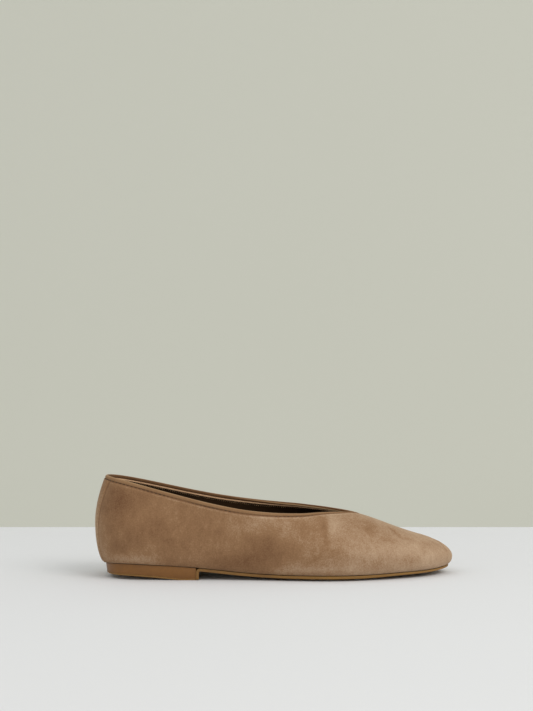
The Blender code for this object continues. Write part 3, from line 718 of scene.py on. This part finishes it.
def drops_of(t, rim, drops):
    """On each section, the places that lie these drops under the leather's edge."""
    w = 1 + np.linspace(0, 1, 40) * (rim[:, None] - 1)
    line = place(t[:, None], w)
    steps = np.linalg.norm(np.diff(line, axis=1), axis=2)
    run = np.concatenate([np.zeros((len(t), 1)), np.cumsum(steps, axis=1)], 1)
    return np.array([np.interp(end[-1] - drops, end, row) for end, row in zip(run, w)])


def wall_grid(t, rim, depth, under, low, high):
    """Points of the wall at one depth in it, from its turned-in edge up to the topline."""
    near = drops_of(t, rim, NEAR_RIM)
    w = np.concatenate([np.linspace(-1, 0, under), np.linspace(0, 1, low)[1:]])
    climb = 1 + np.linspace(0, 1, high)[1:-1] * (near[:, :1] - 1)
    w = np.concatenate([np.repeat(w[None], len(t), 0), climb, near], 1)
    return place(t[:, None], w, depth)


def wall_piece(name, look, outer_depth, inner_depth, outer_rows, inner_rows):
    """A closed skin of the wall, from one depth in it to another, open at the collar and underneath."""
    t = UPPER_PLACES
    rim = rim_w(t)
    body = Body()
    outer = body.add(wall_grid(t, rim, outer_depth, *outer_rows))
    inner = body.add(wall_grid(t, rim, inner_depth, *inner_rows))
    body.skin(outer, True)
    body.skin(inner[:, ::-1], True)
    body.skin(np.stack([inner[:, 0], outer[:, 0]], -1), True)
    edge = np.stack([outer[:, -1], inner[:, -1]], -1)
    for a in range(len(t)):
        b = (a + 1) % len(t)
        if rim[a] < 2 or rim[b] < 2:
            body.skin(edge[[a, b]])
    return body.make(name, look)


def seam_shade():
    """Places on the upper's outer face, with how much painted shade each has in a seam's hollow and beside
    the strip's edges, and how much painted highlight where it stands up beside that hollow."""
    t = UPPER_PLACES
    rim = rim_w(t)
    points = wall_grid(t, rim, 0.0, *SUEDE_ROWS)
    steps = np.linalg.norm(np.diff(points, axis=1), axis=2)
    drop = np.concatenate([np.cumsum(steps[:, ::-1], axis=1)[:, ::-1], np.zeros((len(t), 1))], 1)
    hollow = 1 - fade_in(drop, SEAM_DARK, SEAM_GONE)
    ridge = bell(drop, SEAM_RIDGE, RIDGE_REACH)
    hollow[rim >= 2] = ridge[rim >= 2] = 0
    beside = np.abs(np.abs(points[..., 1]) - STRIP_WIDTH / 2 - STRIP_SEAM_OFF)
    strip = 1 - fade_in(beside, STRIP_SEAM_DARK, STRIP_SEAM_GONE)
    strip *= fade_in(points[..., 2], STRIP_SEAM_FROM, STRIP_SEAM_FULL)
    strip[points[..., 0] > BACK_PART] = 0
    return points, np.maximum(hollow, strip).reshape(-1), ridge.reshape(-1)


def suede_upper(look):
    """The suede with its creases, and the marks the shader reads: brushing, painted light and painted seam
    shade.
    """
    piece = wall_piece("upper_suede", look, 0.0, SUEDE, SUEDE_ROWS, HIDDEN_ROWS)
    places, hollow, ridge = seam_shade()
    nearest = nearest_of(piece, places)
    # The seam mark is painted shade in the seams' hollows and beside the strip
    mark(piece, "seam", hollow[nearest])
    mesh = piece.data
    count = len(mesh.vertices)
    points, normals = np.empty(count * 3), np.empty(count * 3)
    mesh.vertices.foreach_get("co", points)
    mesh.vertices.foreach_get("normal", normals)
    points = points.reshape(-1, 3) * 1000 - SHIFT
    normals = normals.reshape(-1, 3)
    outward = np.einsum("ij,ij->i", normals, points - np.clip(points, CORE_LOW, CORE_HIGH))
    out = np.where(outward > 0, relief_of_suede(points), 0.0)
    raised = points + normals * out[:, None]
    mesh.vertices.foreach_set("co", ((raised + SHIFT) * 0.001).reshape(-1))
    # This mark holds the brushing with its painted shade and light, and the painted highlight beside the
    # seam
    mark(piece, "nap_and_light", np.clip(brushing_and_painted_light_of_suede(points) + RIDGE_LIGHT * ridge[nearest], -1, 1.3))
    return keep(piece, "upper", 60)


def lining(look):
    """The kid that lines the whole wall."""
    piece = wall_piece("upper_lining", look, SUEDE + LINING_GAP, WALL, LINING_ROWS, LINING_ROWS)
    return keep(piece, "upper", 60)


def closed_section(points, count):
    """A smooth closed section through a few points."""
    points = np.array(points, float)
    knots = np.arange(-3, len(points) + 4)
    looped = points[knots % len(points)]
    u = np.linspace(0, len(points), count, endpoint=False)
    return np.stack([curve(knots, looped[:, k])(u) for k in (0, 1)], -1)


def along_the_vamp():
    """Round the topline, throat, outer side, back, inner side: 1 along the vamp, 0 along the quarters."""
    foot = foot_at(np.concatenate([RIM_HALF[::-1], RIM_HALF[1:]]))
    return fade_in(foot, VAMP_FROM, VAMP_FULL)


def swept_on_rim(name, look, section, count, climb=0.0):
    """A closed section carried all round the topline: across the wall and up from the leather's edge,
    and as much higher as the climb by the vamp."""
    middle, out, up, stretch = rim_frames(RIM_HALF)
    shape = closed_section(section, count)
    higher = climb * along_the_vamp()
    grid = np.stack([middle + a * out + (b * stretch + higher)[:, None] * up for a, b in shape], 1)
    grid[-1] = grid[0]
    body = Body()
    numbers = body.add(grid)
    body.skin(np.hstack([numbers, numbers[:, :1]]))
    return body.make(name, look), grid, shape


def painted_light_of_binding(across, up):
    """How light the roll is painted at each place of its section, all round the topline: a painted highlight
    on its crown and painted shade on its inner side. Along the inner side's vamp the crown has painted shade
    instead, and the fold beside it a painted light."""
    inside = 1 - fade_in(across, -ROLL_TURN, ROLL_TURN)
    crown = bell(up, 2.2, 0.35) * (across > 0)
    rubbed = bell(across, -0.5, 0.25) * (up > 1.9)
    dark = bell(across, 0.3, 0.45) * (up > 1) + fade_in(-across, 0.8, 0.9)
    vamp = along_the_vamp()[:, None]
    vamp[: len(RIM_HALF)] = 0
    plain = CROWN_LIGHT * crown - INSIDE_DARK * inside
    return (1 - vamp) * plain + vamp * (FOLD_LIGHT * rubbed - CROWN_DARK * dark)


def binding(look):
    """The suede strip folded over the leather's edge: flat and full outside, tucked in at its seam."""
    half_thick = WALL / 2 + BINDING_SWELL
    section = (
        # across, as a share of half its thickness, and up from the leather's edge
        (0.72, -0.02),
        (0.93, 0.08),
        (1.06, 0.45),
        (1.10, 1.05),
        (1.00, 1.75),
        (0.72, 2.28),
        (0.25, BINDING),
        (-0.28, 0.99 * BINDING),
        (-0.72, 2.18),
        (-0.96, 1.60),
        (-0.98, 1.00),
        (-0.86, 0.35),
        (-0.60, 0.04),
        (0.05, 0.02),
    )
    section = [(across * half_thick, up) for across, up in section]
    piece, grid, shape = swept_on_rim("topline_binding_roll", look, section, 36)
    # The roll's painted highlight and painted shade, carried in its mark
    light = painted_light_of_binding(shape[:, 0] / half_thick, shape[:, 1]).reshape(-1)
    mark(piece, "nap_and_light", light[nearest_of(piece, grid)])
    return keep(piece, "topline_binding")


def raw_edge(look):
    """The cut edge of the binding, pale against the lining, under the roll on the inside."""
    section = (
        # across, and up from the leather's edge
        (-0.70, 0.36),
        (-1.10, 0.42),
        (-1.48, 0.22),
        (-1.50, 0.30 - RAW_EDGE),
        (-1.10, 0.08 - RAW_EDGE),
        (-0.74, 0.12 - RAW_EDGE),
    )
    return ride_along(swept_on_rim("binding_raw_edge", look, section, 12, RAW_EDGE_CLIMB)[0])


def rim_at(t):
    """The leather's edge at one place."""
    return float(rim_w(np.array([t % LAP]))[0])


def below_rim(t, drop, depth):
    """The point on the wall that lies a drop under the leather's edge, at a depth in the wall."""
    rim = rim_at(t)
    w = np.linspace(rim, rim - 0.5, 60)
    line = place(np.full(60, t), w, depth)
    return point_at(drop, run_of(line), line)


def seam_places(pitch, start, end, depth):
    """Places round the topline, one pitch apart, with the run along it from which they were taken."""
    t = np.linspace(start, end, 900)
    run = run_of(place(t, rim_w(t % LAP), depth))
    count = int(run[-1] / pitch)
    return np.interp((np.arange(count) + 0.5) * run[-1] / count, run, t), t, run


def add_stitch(body, start, end, out, thick, rise):
    """One stitch: a short round bead of thread, thin at its ends, which dive into the leather."""
    along = end - start
    side = np.cross(along, out)
    side /= np.linalg.norm(side)
    angles = np.linspace(0, 2 * math.pi, 7)[:-1]
    rings = []
    for share in (0.0, 0.12, 0.35, 0.65, 0.88, 1.0):
        arch = math.sin(math.pi * share)
        radius = thick / 2 * (0.35 + 0.65 * arch**0.5) if 0 < share < 1 else thick * 0.12
        centre = start + share * along + out * (rise * arch**0.6 - 0.25 * thick)
        rings.append([centre + radius * (math.cos(a) * out + math.sin(a) * side) for a in angles])
    numbers = body.add(rings)
    body.skin(np.hstack([numbers, numbers[:, :1]]))


def outward_at(t, w):
    """The way out of the wall, from two short steps on it."""
    along = place(t + 0.4, w) - place(t - 0.4, w)
    up = place(t, w) - place(t, w - 2 * JUST_UNDER)
    out = np.cross(along, up)
    out = out / np.linalg.norm(out)
    inside = place(t, w, WALL) - place(t, w)
    return out if out @ inside < 0 else -out


def binding_stitches(look):
    """The dark seam sewn close under the binding, on the outside."""
    places, t, run = seam_places(STITCH + STITCH_GAP, -THROAT_T, THROAT_T, 0.0)
    body = Body()
    for middle in places:
        here = np.interp(middle, t, run)
        ends = np.interp([here - STITCH / 2, here + STITCH / 2], run, t)
        start, end = (below_rim(one, BINDING_SEAM, 0.0) for one in ends)
        outward = outward_at(middle, rim_at(middle) - JUST_UNDER)
        add_stitch(body, start, end, outward, THREAD, THREAD_RISE)
    return ride_along(body.make("binding_stitches", look))


def whip_stitches(look):
    """The slanting stitches that hold the lining to the binding's cut edge, on the inside."""
    places, t, run = seam_places(WHIP_PITCH, -THROAT_T * WHIP_END, THROAT_T * WHIP_END, WALL)
    body = Body()
    for middle in places:
        here = np.interp(middle, t, run)
        start, end = np.interp([here - WHIP_SLANT / 2, here + WHIP_SLANT / 2], run, t)
        top, foot = below_rim(start, WHIP_TOP, WALL), below_rim(end, WHIP_FOOT, WALL)
        inward = -outward_at(middle, rim_at(middle) - 2 * JUST_UNDER)
        add_stitch(body, top, foot, inward, WHIP_THREAD, WHIP_RISE)
    return ride_along(body.make("lining_whip_stitches", look))


BACK_PLACES = np.linspace(-ROWS[3], ROWS[3], 241)
STRIP_TOP = rim_w(BACK_PLACES % LAP)


def strip_row(share):
    """The strip at a share of its way up: places round the back, the leather's way up at each of them,
    how far each lies to the inner side, and how much of the strip's thickness is left there."""
    w = STRIP_LOW + (STRIP_TOP - STRIP_HIGH - STRIP_LOW) * share
    across = place(BACK_PLACES, w, -STRIP)[:, 1]
    order = np.argsort(across)
    thick = STRIP_FLAT + (1 - STRIP_FLAT) * min(share / STRIP_FULL, 1)
    return BACK_PLACES[order], w[order], across[order], thick


def back_strip(look):
    """The strip over the back seam, its long edges turned in and sewn down."""
    flat = 0.5 - STRIP_TURN
    turned = flat + STRIP_TURN * np.array([0.5, 0.8, 1.0])
    across = np.concatenate([-turned[::-1], np.linspace(-flat, flat, 19), turned])
    edge = 1 - fade_in(np.abs(across), flat, 0.5)
    raised = STRIP_EDGE + (GAP + STRIP - STRIP_EDGE) * edge**0.5
    outer, inner = [], []
    for share in np.linspace(0, 1, 46):
        t, w, y, thick = strip_row(share)
        here, level = (np.interp(across * STRIP_WIDTH, y, row) for row in (t, w))
        outer.append(place(here, level, -raised * thick))
        inner.append(place(here, level, -STRIP_INNER))
    body = Body()
    top, bottom = plate(body, outer, inner, False)
    body.skin(np.stack([bottom[:, 0], top[:, 0]], -1))
    piece = body.make("back_strip_suede", look)
    height = np.array([1000 * vertex.co.z for vertex in piece.data.vertices])
    # Plain brushed tone, with a painted highlight at the strip's middle height
    mark(piece, "nap_and_light", STRIP_NAP + STRIP_PAINTED_LIGHT * bell(height, STRIP_LIGHT_AT, STRIP_LIGHT_REACH))
    return keep(piece, "back_strip", 50)


def strip_stitches(look):
    """A fine seam inside each long edge of the back strip."""
    body = Body()
    for side in (-1, 1):
        across = side * (STRIP_WIDTH / 2 - STRIP_SEAM_IN)
        line = []
        for share in np.linspace(STRIP_SEAM_FOOT, STRIP_SEAM_TOP, 120):
            t, w, y, thick = strip_row(share)
            here, level = (float(np.interp(across, y, row)) for row in (t, w))
            line.append(place(here, level, -(GAP + STRIP) * thick))
        line = np.array(line)
        run = run_of(line)
        out = np.array([-1.0, STRIP_LEAN * side, 0.0])
        for start in np.arange(FIRST_STITCH, run[-1] - STITCH, STITCH + STITCH_GAP):
            first, last = (point_at(one, run, line) for one in (start, start + STITCH))
            add_stitch(body, first, last, out, STRIP_THREAD, STRIP_RISE)
    return ride_along(body.make("back_strip_stitches", look))


def sock(look):
    """The sock over the insole board, its edge drawn down and pressed in where the foot stands."""
    t = mirrored(np.linspace(0, HALF_LAP, 170), False)[:, None]
    share = np.concatenate([np.linspace(0, 0.9, 12), [0.95, 0.98, 1.0]])[None]
    foot = feather_reach(t)
    reach = foot - PLAY
    low = bed(t, share * reach / foot) + WALL + GAP
    climb = np.linspace(0, 1, 101)
    flare = []
    for one, height in zip(t[:, 0], low[:, -1] + INSOLE):
        r, z = profile(np.full_like(climb, one), climb, WALL)
        flare.append(np.interp(height, z, r) - GAP - PLAY / 2)
    flare = np.array(flare)[:, None]
    upper = out_from_foot(t + 0 * share, share * flare, low + INSOLE)
    pressed = sum(depth * bell(upper[..., 0], middle, wide) for middle, wide, depth in SOCK_PRESSED)
    upper[..., 2] -= pressed * (1 - share**2) + SOCK_DROP * fade_in(share, 0.95, 1.0) ** 2
    body = Body()
    plate(body, upper, out_from_foot(t + 0 * share, share * reach, low), True)
    return keep(body.make("sock_lining", look), "insole", 50)


def sole(look):
    """The outsole with its rounded edge and the flap that turns down the heel's front."""
    share = np.array([[0.0, 0.3, 0.6, 0.8, 0.93, 1.0]])
    start = place_of_foot(BREAST + GAP + 2 * FLAP_BEND)
    half = np.concatenate([np.linspace(start, THROAT_T, 60), np.linspace(THROAT_T, HALF_LAP, 60)[1:]])
    t = mirrored(half, True)[:, None]
    edge = (feather_reach(t) + SOLE_EDGE) * share
    over = bed(t, edge / feather_reach(t)) - GAP
    top = out_from_foot(t + 0 * share, edge, over)
    thick = np.interp(foot_at(t), (THROAT, FOOT[-1] * LENGTH), (SOLE, SOLE_TOE))
    bottom = out_from_foot(t + 0 * share, edge, np.maximum(over - thick, 0))
    corner = place_of_foot(BREAST + GAP + FLAP_BEND)
    back = BREAST + FLAP_GAP
    bend = np.linspace(0, math.pi / 2, 7)[1:]
    flap_top, flap_bottom = [], []
    for sign, at in ((-1, corner), (1, LAP - corner)):
        foot = float(feather_reach(at))
        reach = foot + SOLE_EDGE
        y = float(swing_at(at)) + sign * reach * share[0]
        z = bed(at, share[0] * reach / foot) - GAP
        faces = ((back, z, FLAP_BEND, flap_top), (back + SOLE, z - SOLE, FLAP_BEND_FRONT, flap_bottom))
        for x, level, radius, rows in faces:
            line = [(x, 0 * z + FLAP_FOOT), (x, level - radius)]
            for angle in bend:
                line.append((x + radius * (1 - math.cos(angle)), level + radius * (math.sin(angle) - 1)))
            rows.append([np.stack([0 * y + ahead, y, height], -1) for ahead, height in line])
    body = Body()
    upper = np.concatenate([flap_top[0], top, flap_top[1][::-1]])
    lower = np.concatenate([flap_bottom[0], bottom, flap_bottom[1][::-1]])
    plate(body, upper, lower, False)
    return keep(rounded(body.make("sole_leather", look), SOLE_ROUND), "outsole", 45)


def heel_layer(name, look, top, bottom, rounding):
    """A layer of the heel, from the outer breast corner round the back. Its top and its bottom each have
    their inset from the sole's edge and their height."""
    half = np.linspace(0.0, BREAST_T, 90)
    t = np.concatenate([half[::-1], LAP - half[1:]])[:, None]
    share = np.array([[0.0, 0.35, 0.7, 0.9, 1.0]])
    foot = feather_reach(t)
    back = np.clip((BREAST - foot_at(t)) / (BREAST - FOOT[0] * LENGTH), 0, 1)
    kept = HEEL_KEEP + (1 - HEEL_KEEP) * back
    grids = []
    for inset, height_at in (top, bottom):
        r = (foot + SOLE_EDGE - inset * kept) * share
        grid = out_from_foot(t + 0 * share, r, 0 * r)
        grid[..., 2] = height_at(t, r / foot, grid[..., 0])
        grids.append(grid)
    body = Body()
    plate(body, *grids, False)
    return rounded(body.make(name, look), rounding)


def heel(look):
    """The stack of leather lifts, glued under the seat."""
    top = HEEL_SET_IN, lambda t, share, x: bed(t, share) - GAP
    bottom = HEEL_SET_IN + HEEL_TAPER, lambda t, share, x: heel_foot(x) + TOP_PIECE + HEEL_GAP
    return keep(heel_layer("heel_stack", look, top, bottom, HEEL_ROUND), "heel_block", 45)


def heel_top_piece(look):
    """The thin walking piece."""
    inset = HEEL_SET_IN + HEEL_TAPER
    top = inset - HEEL_OVERHANG, lambda t, share, x: heel_foot(x) + TOP_PIECE
    bottom = inset + TOP_PIECE_TAPER, lambda t, share, x: heel_foot(x)
    piece = heel_layer("heel_top_piece", look, top, bottom, TOP_PIECE_ROUND)
    return keep(piece, "top_piece", 45)


# Finishes
WAVE_BANDS = 20 / (2 * math.pi)  # bands that a wave draws in one unit of its scale


def linear(code):
    """The linear colour of an sRGB hex value."""
    parts = [int(code[i : i + 2], 16) / 255 for i in (1, 3, 5)]
    return (*(c / 12.92 if c <= 0.04045 else ((c + 0.055) / 1.055) ** 2.4 for c in parts), 1.0)


def per_mm(size):
    """The scale of a pattern whose features are this many millimetres across."""
    return 1000.0 / size


def add_node(tree, kind, inputs=None, stops=(), **settings):
    """A node with its settings and its inputs, each a value or another node's output. Stops are the
    colours of a ramp with their places, both ends first."""
    made = tree.nodes.new(kind)
    for name, value in settings.items():
        setattr(made, name, value)
    for socket, value in (inputs or {}).items():
        if isinstance(value, bpy.types.NodeSocket):
            tree.links.new(value, made.inputs[socket])
        else:
            made.inputs[socket].default_value = value
    for number, (position, code) in enumerate(stops):
        elements = made.color_ramp.elements
        stop = elements[number] if number < 2 else elements.new(position)
        stop.position, stop.color = position, linear(code)
    return made


def new_material(name):
    """A material with its shader, and the place in the object that its patterns are laid by."""
    made = bpy.data.materials.new(name)
    made.use_nodes = True
    tree = made.node_tree
    shader = tree.nodes["Principled BSDF"]
    place_of = add_node(tree, "ShaderNodeTexCoord").outputs["Object"]
    return made, tree, shader, place_of


def finish_shader(tree, shader, color, roughness, height, strength, distance, **fixed):
    """Colour, roughness and bump into the shader, and what is the same all over set on its sockets."""
    relief = {"Strength": strength, "Distance": distance * 0.001, "Height": height}
    bump = add_node(tree, "ShaderNodeBump", relief)
    tree.links.new(color, shader.inputs["Base Color"])
    tree.links.new(roughness, shader.inputs["Roughness"])
    tree.links.new(bump.outputs["Normal"], shader.inputs["Normal"])
    for name, value in fixed.items():
        shader.inputs[name.replace("_", " ")].default_value = value


SUEDE_LAYERS = (
    # size in mm, stretch along x y z, weight
    (22.0, (1.0, 1.0, 1.0), 0.40),
    (7.0, (1.0, 1.0, 0.8), 0.17),
    (2.6, (1.0, 1.0, 0.5), 0.20),
    (0.9, (1.0, 1.0, 1.0), 0.46),
)
# Colour of the painted shade in a seam's hollow, with some wear
SEAM_SHADE_AND_WEAR_COLOR = "#725238"


def suede_material(name, dark, mid, light, sheen, contrast=1.0, nap_and_light_weight=0.30):
    """Cowhide split, brushed. Its pile lies in patches that read darker or lighter, with painted shade
    and light in its marks, and short fibres that take the gloss away and leave a soft sheen. Fibres are
    under 0.1 mm, so the grain is drawn ten times as coarse. A seam's hollow has painted shade, some wear."""
    made, tree, shader, place_of = new_material(name)
    nap_and_light = add_node(tree, "ShaderNodeAttribute", attribute_name="nap_and_light").outputs["Fac"]
    seam = add_node(tree, "ShaderNodeAttribute", attribute_name="seam").outputs["Fac"]
    tone = add_node(tree, "ShaderNodeMath", {0: nap_and_light, 1: nap_and_light_weight, 2: 0.5}, operation="MULTIPLY_ADD")
    for size, stretch, weight in SUEDE_LAYERS:
        mapped = add_node(tree, "ShaderNodeMapping", {"Vector": place_of, "Scale": stretch}).outputs[0]
        pattern = {"Vector": mapped, "Scale": per_mm(size), "Detail": 2.0, "Roughness": 0.55}
        grain = add_node(tree, "ShaderNodeTexNoise", pattern).outputs["Fac"]
        around_nought = add_node(tree, "ShaderNodeMath", {0: grain, 1: 0.5}, operation="SUBTRACT")
        terms = {0: around_nought.outputs[0], 1: weight * contrast, 2: tone.outputs[0]}
        tone = add_node(tree, "ShaderNodeMath", terms, operation="MULTIPLY_ADD")
    stops = (0.12, dark), (0.88, light), (0.5, mid)
    color = add_node(tree, "ShaderNodeValToRGB", {"Fac": tone.outputs[0]}, stops).outputs["Color"]
    # Painted shade in the seams' hollows, with some wear, mixed over the suede's colour
    wear = {"Factor": seam, 6: color, 7: linear(SEAM_SHADE_AND_WEAR_COLOR)}
    worn = add_node(tree, "ShaderNodeMix", wear, data_type="RGBA").outputs[2]
    rough = add_node(tree, "ShaderNodeMapRange", {"Value": grain, "To Min": 0.86, "To Max": 1.0})
    finish_shader(
        tree, shader, worn, rough.outputs[0], grain, 0.55, 0.25,
        Specular_IOR_Level=0.22, Sheen_Weight=sheen, Sheen_Roughness=0.45, Sheen_Tint=linear("#d9c9b4"),
    )
    return made


def smooth_leather(name, dark, light, rough, grain_mm, pore_depth, coat=0.0, lifts_mm=0.0, toe=0.0):
    """Tanned leather, rolled or waxed: fine pores, a slow drift of colour, where it is stacked a change
    from lift to lift, and, by the toe's amount, painted light that makes it lighter towards the toe."""
    made, tree, shader, place_of = new_material(name)
    flecks = {"Vector": place_of, "Scale": per_mm(2.4 * grain_mm), "Detail": 3.0}
    fleck = add_node(tree, "ShaderNodeTexNoise", flecks).outputs["Fac"]
    drift = add_node(tree, "ShaderNodeTexNoise", {"Vector": place_of, "Scale": per_mm(16.0), "Detail": 4.0})
    parts = [(fleck, 0.45), (drift.outputs["Fac"], 0.75)]
    # Painted light: lighter towards the toe, the edge further back standing in shade
    if toe:
        ahead = add_node(tree, "ShaderNodeSeparateXYZ", {"Vector": place_of}).outputs["X"]
        rubbed = {"Value": ahead, "From Min": 0.0, "From Max": 0.12, "To Max": toe}
        parts.append((add_node(tree, "ShaderNodeMapRange", rubbed).outputs[0], 1.0))
    if lifts_mm:
        bands = {
            "Vector": place_of, "Scale": per_mm(lifts_mm) / WAVE_BANDS,
            "Distortion": 1.4, "Detail": 2.0, "Detail Scale": 1.5,
        }
        height = add_node(tree, "ShaderNodeTexWave", bands, bands_direction="Z").outputs["Fac"]
        parts.append((height, 0.22))
    else:
        pores = {"Vector": place_of, "Scale": per_mm(grain_mm)}
        height = add_node(tree, "ShaderNodeTexVoronoi", pores, feature="F1").outputs["Distance"]
    tone = 0.0
    for part, weight in parts:
        terms = {0: part, 1: weight, 2: tone}
        tone = add_node(tree, "ShaderNodeMath", terms, operation="MULTIPLY_ADD").outputs[0]
    stops = (0.25, dark), (0.95, light)
    color = add_node(tree, "ShaderNodeValToRGB", {"Fac": tone}, stops).outputs["Color"]
    spread = {"Value": fleck, "To Min": rough - 0.08, "To Max": rough + 0.12}
    roughness = add_node(tree, "ShaderNodeMapRange", spread).outputs[0]
    finish_shader(
        tree, shader, color, roughness, height, 0.3, pore_depth,
        Coat_Weight=coat, Coat_Roughness=0.4, Specular_IOR_Level=0.28,
    )
    return made


def twisted_thread(name, light, dark):
    """Waxed polyester thread: two plies twisted together, with a dull shine on each. The plies lie
    0.6 mm apart. They are drawn six times as coarse, so that one stitch differs from the next."""
    made, tree, shader, place_of = new_material(name)
    plies = {"Vector": place_of, "Scale": per_mm(3.77) / WAVE_BANDS, "Distortion": 2.0, "Detail": 1.0}
    twist = add_node(tree, "ShaderNodeTexWave", plies, bands_direction="DIAGONAL").outputs["Fac"]
    stops = (0.0, dark), (1.0, light)
    color = add_node(tree, "ShaderNodeValToRGB", {"Fac": twist}, stops).outputs["Color"]
    rough = add_node(tree, "ShaderNodeMapRange", {"Value": twist, "To Min": 0.55, "To Max": 0.75})
    finish_shader(tree, shader, color, rough.outputs[0], twist, 0.4, 0.06)
    return made


def painted_board(name, light, dark, size_mm):
    """A painted board, matt, with the slow unevenness of a rolled coat."""
    made, tree, shader, place_of = new_material(name)
    rolled = {"Vector": place_of, "Scale": per_mm(size_mm), "Detail": 2.0}
    coat = add_node(tree, "ShaderNodeTexNoise", rolled).outputs["Fac"]
    stops = (0.0, dark), (1.0, light)
    color = add_node(tree, "ShaderNodeValToRGB", {"Fac": coat}, stops).outputs["Color"]
    rough = add_node(tree, "ShaderNodeMapRange", {"Value": coat, "To Min": 0.8, "To Max": 0.95})
    finish_shader(tree, shader, color, rough.outputs[0], coat, 0.05, 0.1, Specular_IOR_Level=0.2)
    return made


# The table, the wall behind it, the light and the camera
TABLE_NEAR, TABLE_EDGE = -1200.0, 1304.0  # from behind the camera to the table's far edge, ahead of it
WALL_AHEAD, WALL_FOOT, WALL_TOP = 2400.0, -1500.0, 3200.0
WIDE = 2600.0  # half the table's width, and a quarter of the wall's
BOARD = 30.0
KEY_AT, KEY_TOWARDS, KEY_SIZE, KEY_WATTS = (1300.0, -1400.0, 1850.0), (20.0, 0.0, 20.0), 1400.0, 22.0
CAMERA_AT = (-59.68, -1023.3, 154.3)
CAMERA_TURN = -3.0
LENS, SENSOR = 73.42, 36.0


def board(name, face, look):
    """A flat board with its face through four corners, and its thickness behind it."""
    face = np.array(face, float)
    normal = np.cross(face[1] - face[0], face[3] - face[0])
    normal /= np.linalg.norm(normal)
    points = np.vstack([face, face - BOARD * normal]) * 0.001
    faces = [(0, 1, 2, 3), (7, 6, 5, 4), (0, 4, 5, 1), (1, 5, 6, 2), (2, 6, 7, 3), (3, 7, 4, 0)]
    mesh = bpy.data.meshes.new(name)
    mesh.from_pydata(points.tolist(), [], faces)
    mesh.materials.append(look)
    made = bpy.data.objects.new(name, mesh)
    bpy.context.scene.collection.objects.link(made)
    return made


def seen(side, ahead, height):
    """The place this far to the right of the camera, ahead of it and over the floor."""
    turn = math.radians(CAMERA_TURN)
    right, forward = (math.cos(turn), math.sin(turn)), (-math.sin(turn), math.cos(turn))
    return [CAMERA_AT[k] + side * right[k] + ahead * forward[k] for k in (0, 1)] + [height]


def set_stage():
    """A white table with a sage wall well behind it."""
    table = painted_board("white painted table", "#dfe1e5", "#dddee2", 400.0)
    wall = painted_board("sage painted wall", "#c3c4bb", "#c0c1b7", 700.0)
    corners = ((-1, 0), (1, 0), (1, 1), (-1, 1))
    ahead, up = (TABLE_NEAR, TABLE_EDGE), (WALL_FOOT, WALL_TOP)
    board("table", [seen(side * WIDE, ahead[far], 0) for side, far in corners], table)
    board("wall", [seen(2 * side * WIDE, WALL_AHEAD, up[far]) for side, far in corners], wall)


def set_light():
    """A pale room, and one soft light from the front, the right and above."""
    scene = bpy.context.scene
    world = bpy.data.worlds.new("pale room")
    world.use_nodes = True
    sky = world.node_tree.nodes["Background"]
    sky.inputs["Color"].default_value = linear("#f4f4f0")
    sky.inputs["Strength"].default_value = 1.0
    scene.world = world
    data = bpy.data.lights.new("key softbox", "AREA")
    data.shape, data.size, data.energy = "SQUARE", KEY_SIZE * 0.001, KEY_WATTS
    data.color = linear("#fffbf6")[:3]
    lamp = bpy.data.objects.new("key softbox", data)
    lamp.location = [c * 0.001 for c in KEY_AT]
    lamp.rotation_euler = (Vector(KEY_TOWARDS) - Vector(KEY_AT)).to_track_quat("-Z", "Y").to_euler()
    scene.collection.objects.link(lamp)


def set_camera():
    """A level camera a metre off, at the photograph's angle."""
    scene = bpy.context.scene
    data = bpy.data.cameras.new("camera")
    data.lens, data.sensor_width = LENS, SENSOR
    camera = bpy.data.objects.new("camera", data)
    camera.location = [c * 0.001 for c in CAMERA_AT]
    camera.rotation_euler = (math.radians(90), 0, math.radians(CAMERA_TURN))
    scene.collection.objects.link(camera)
    scene.camera = camera
    scene.view_settings.view_transform = "Standard"


def dress_shoe():
    """Every piece of the shoe, in its finish."""
    # Suede, matt and mottled by the hand that brushed it, with painted shade and light in its marks, over
    # dull dark kid
    shades = {"dark": "#67472f", "mid": "#8a694b", "light": "#b3997f"}
    suede_upper(suede_material("brushed cowhide suede", **shades, sheen=0.20))
    lining(smooth_leather("dark kid lining", "#261504", "#3a240a", 0.8, 0.7, 0.05))
    # The binding is pulled tight, so it is darker and plainer, and pale and dry where it was cut
    tight = {"dark": "#55361c", "mid": "#856547", "light": "#a88b69"}
    binding(suede_material("suede binding strip", **tight, sheen=0.15, contrast=0.4, nap_and_light_weight=0.38))
    raw_edge(smooth_leather("cut edge of the binding", "#b8906c", "#d6b08c", 0.8, 0.5, 0.05))
    binding_stitches(twisted_thread("brown thread", "#523722", "#3a2512"))
    whip_stitches(twisted_thread("pale thread", "#a5835f", "#7d6146"))
    # The strip is of the upper's suede, a little plainer
    back_strip(suede_material("suede back strip", **shades, sheen=0.20, contrast=0.8))
    strip_stitches(twisted_thread("tan thread", "#94744f", "#6a4e30"))
    sock(smooth_leather("sock leather", "#3a2817", "#523a24", 0.55, 0.8, 0.06))
    # Sole leather, with painted light making it lighter at the toe
    sole(smooth_leather("tan sole leather", "#6a4922", "#8f6934", 0.52, 0.6, 0.04, coat=0.1, toe=0.35))
    # Leather lifts, waxed over. They are 3.5 mm thick, and drawn four times as coarse, as a slow change
    waxed = "waxed heel stack", "#66421c", "#7e5426", 0.42, 0.9, 0.05
    heel(smooth_leather(*waxed, coat=0.15, lifts_mm=13.82))
    heel_top_piece(smooth_leather("heel top piece rubber", "#75532a", "#8f6a3a", 0.6, 0.5, 0.05))


set_stage()
set_light()
set_camera()
dress_shoe()
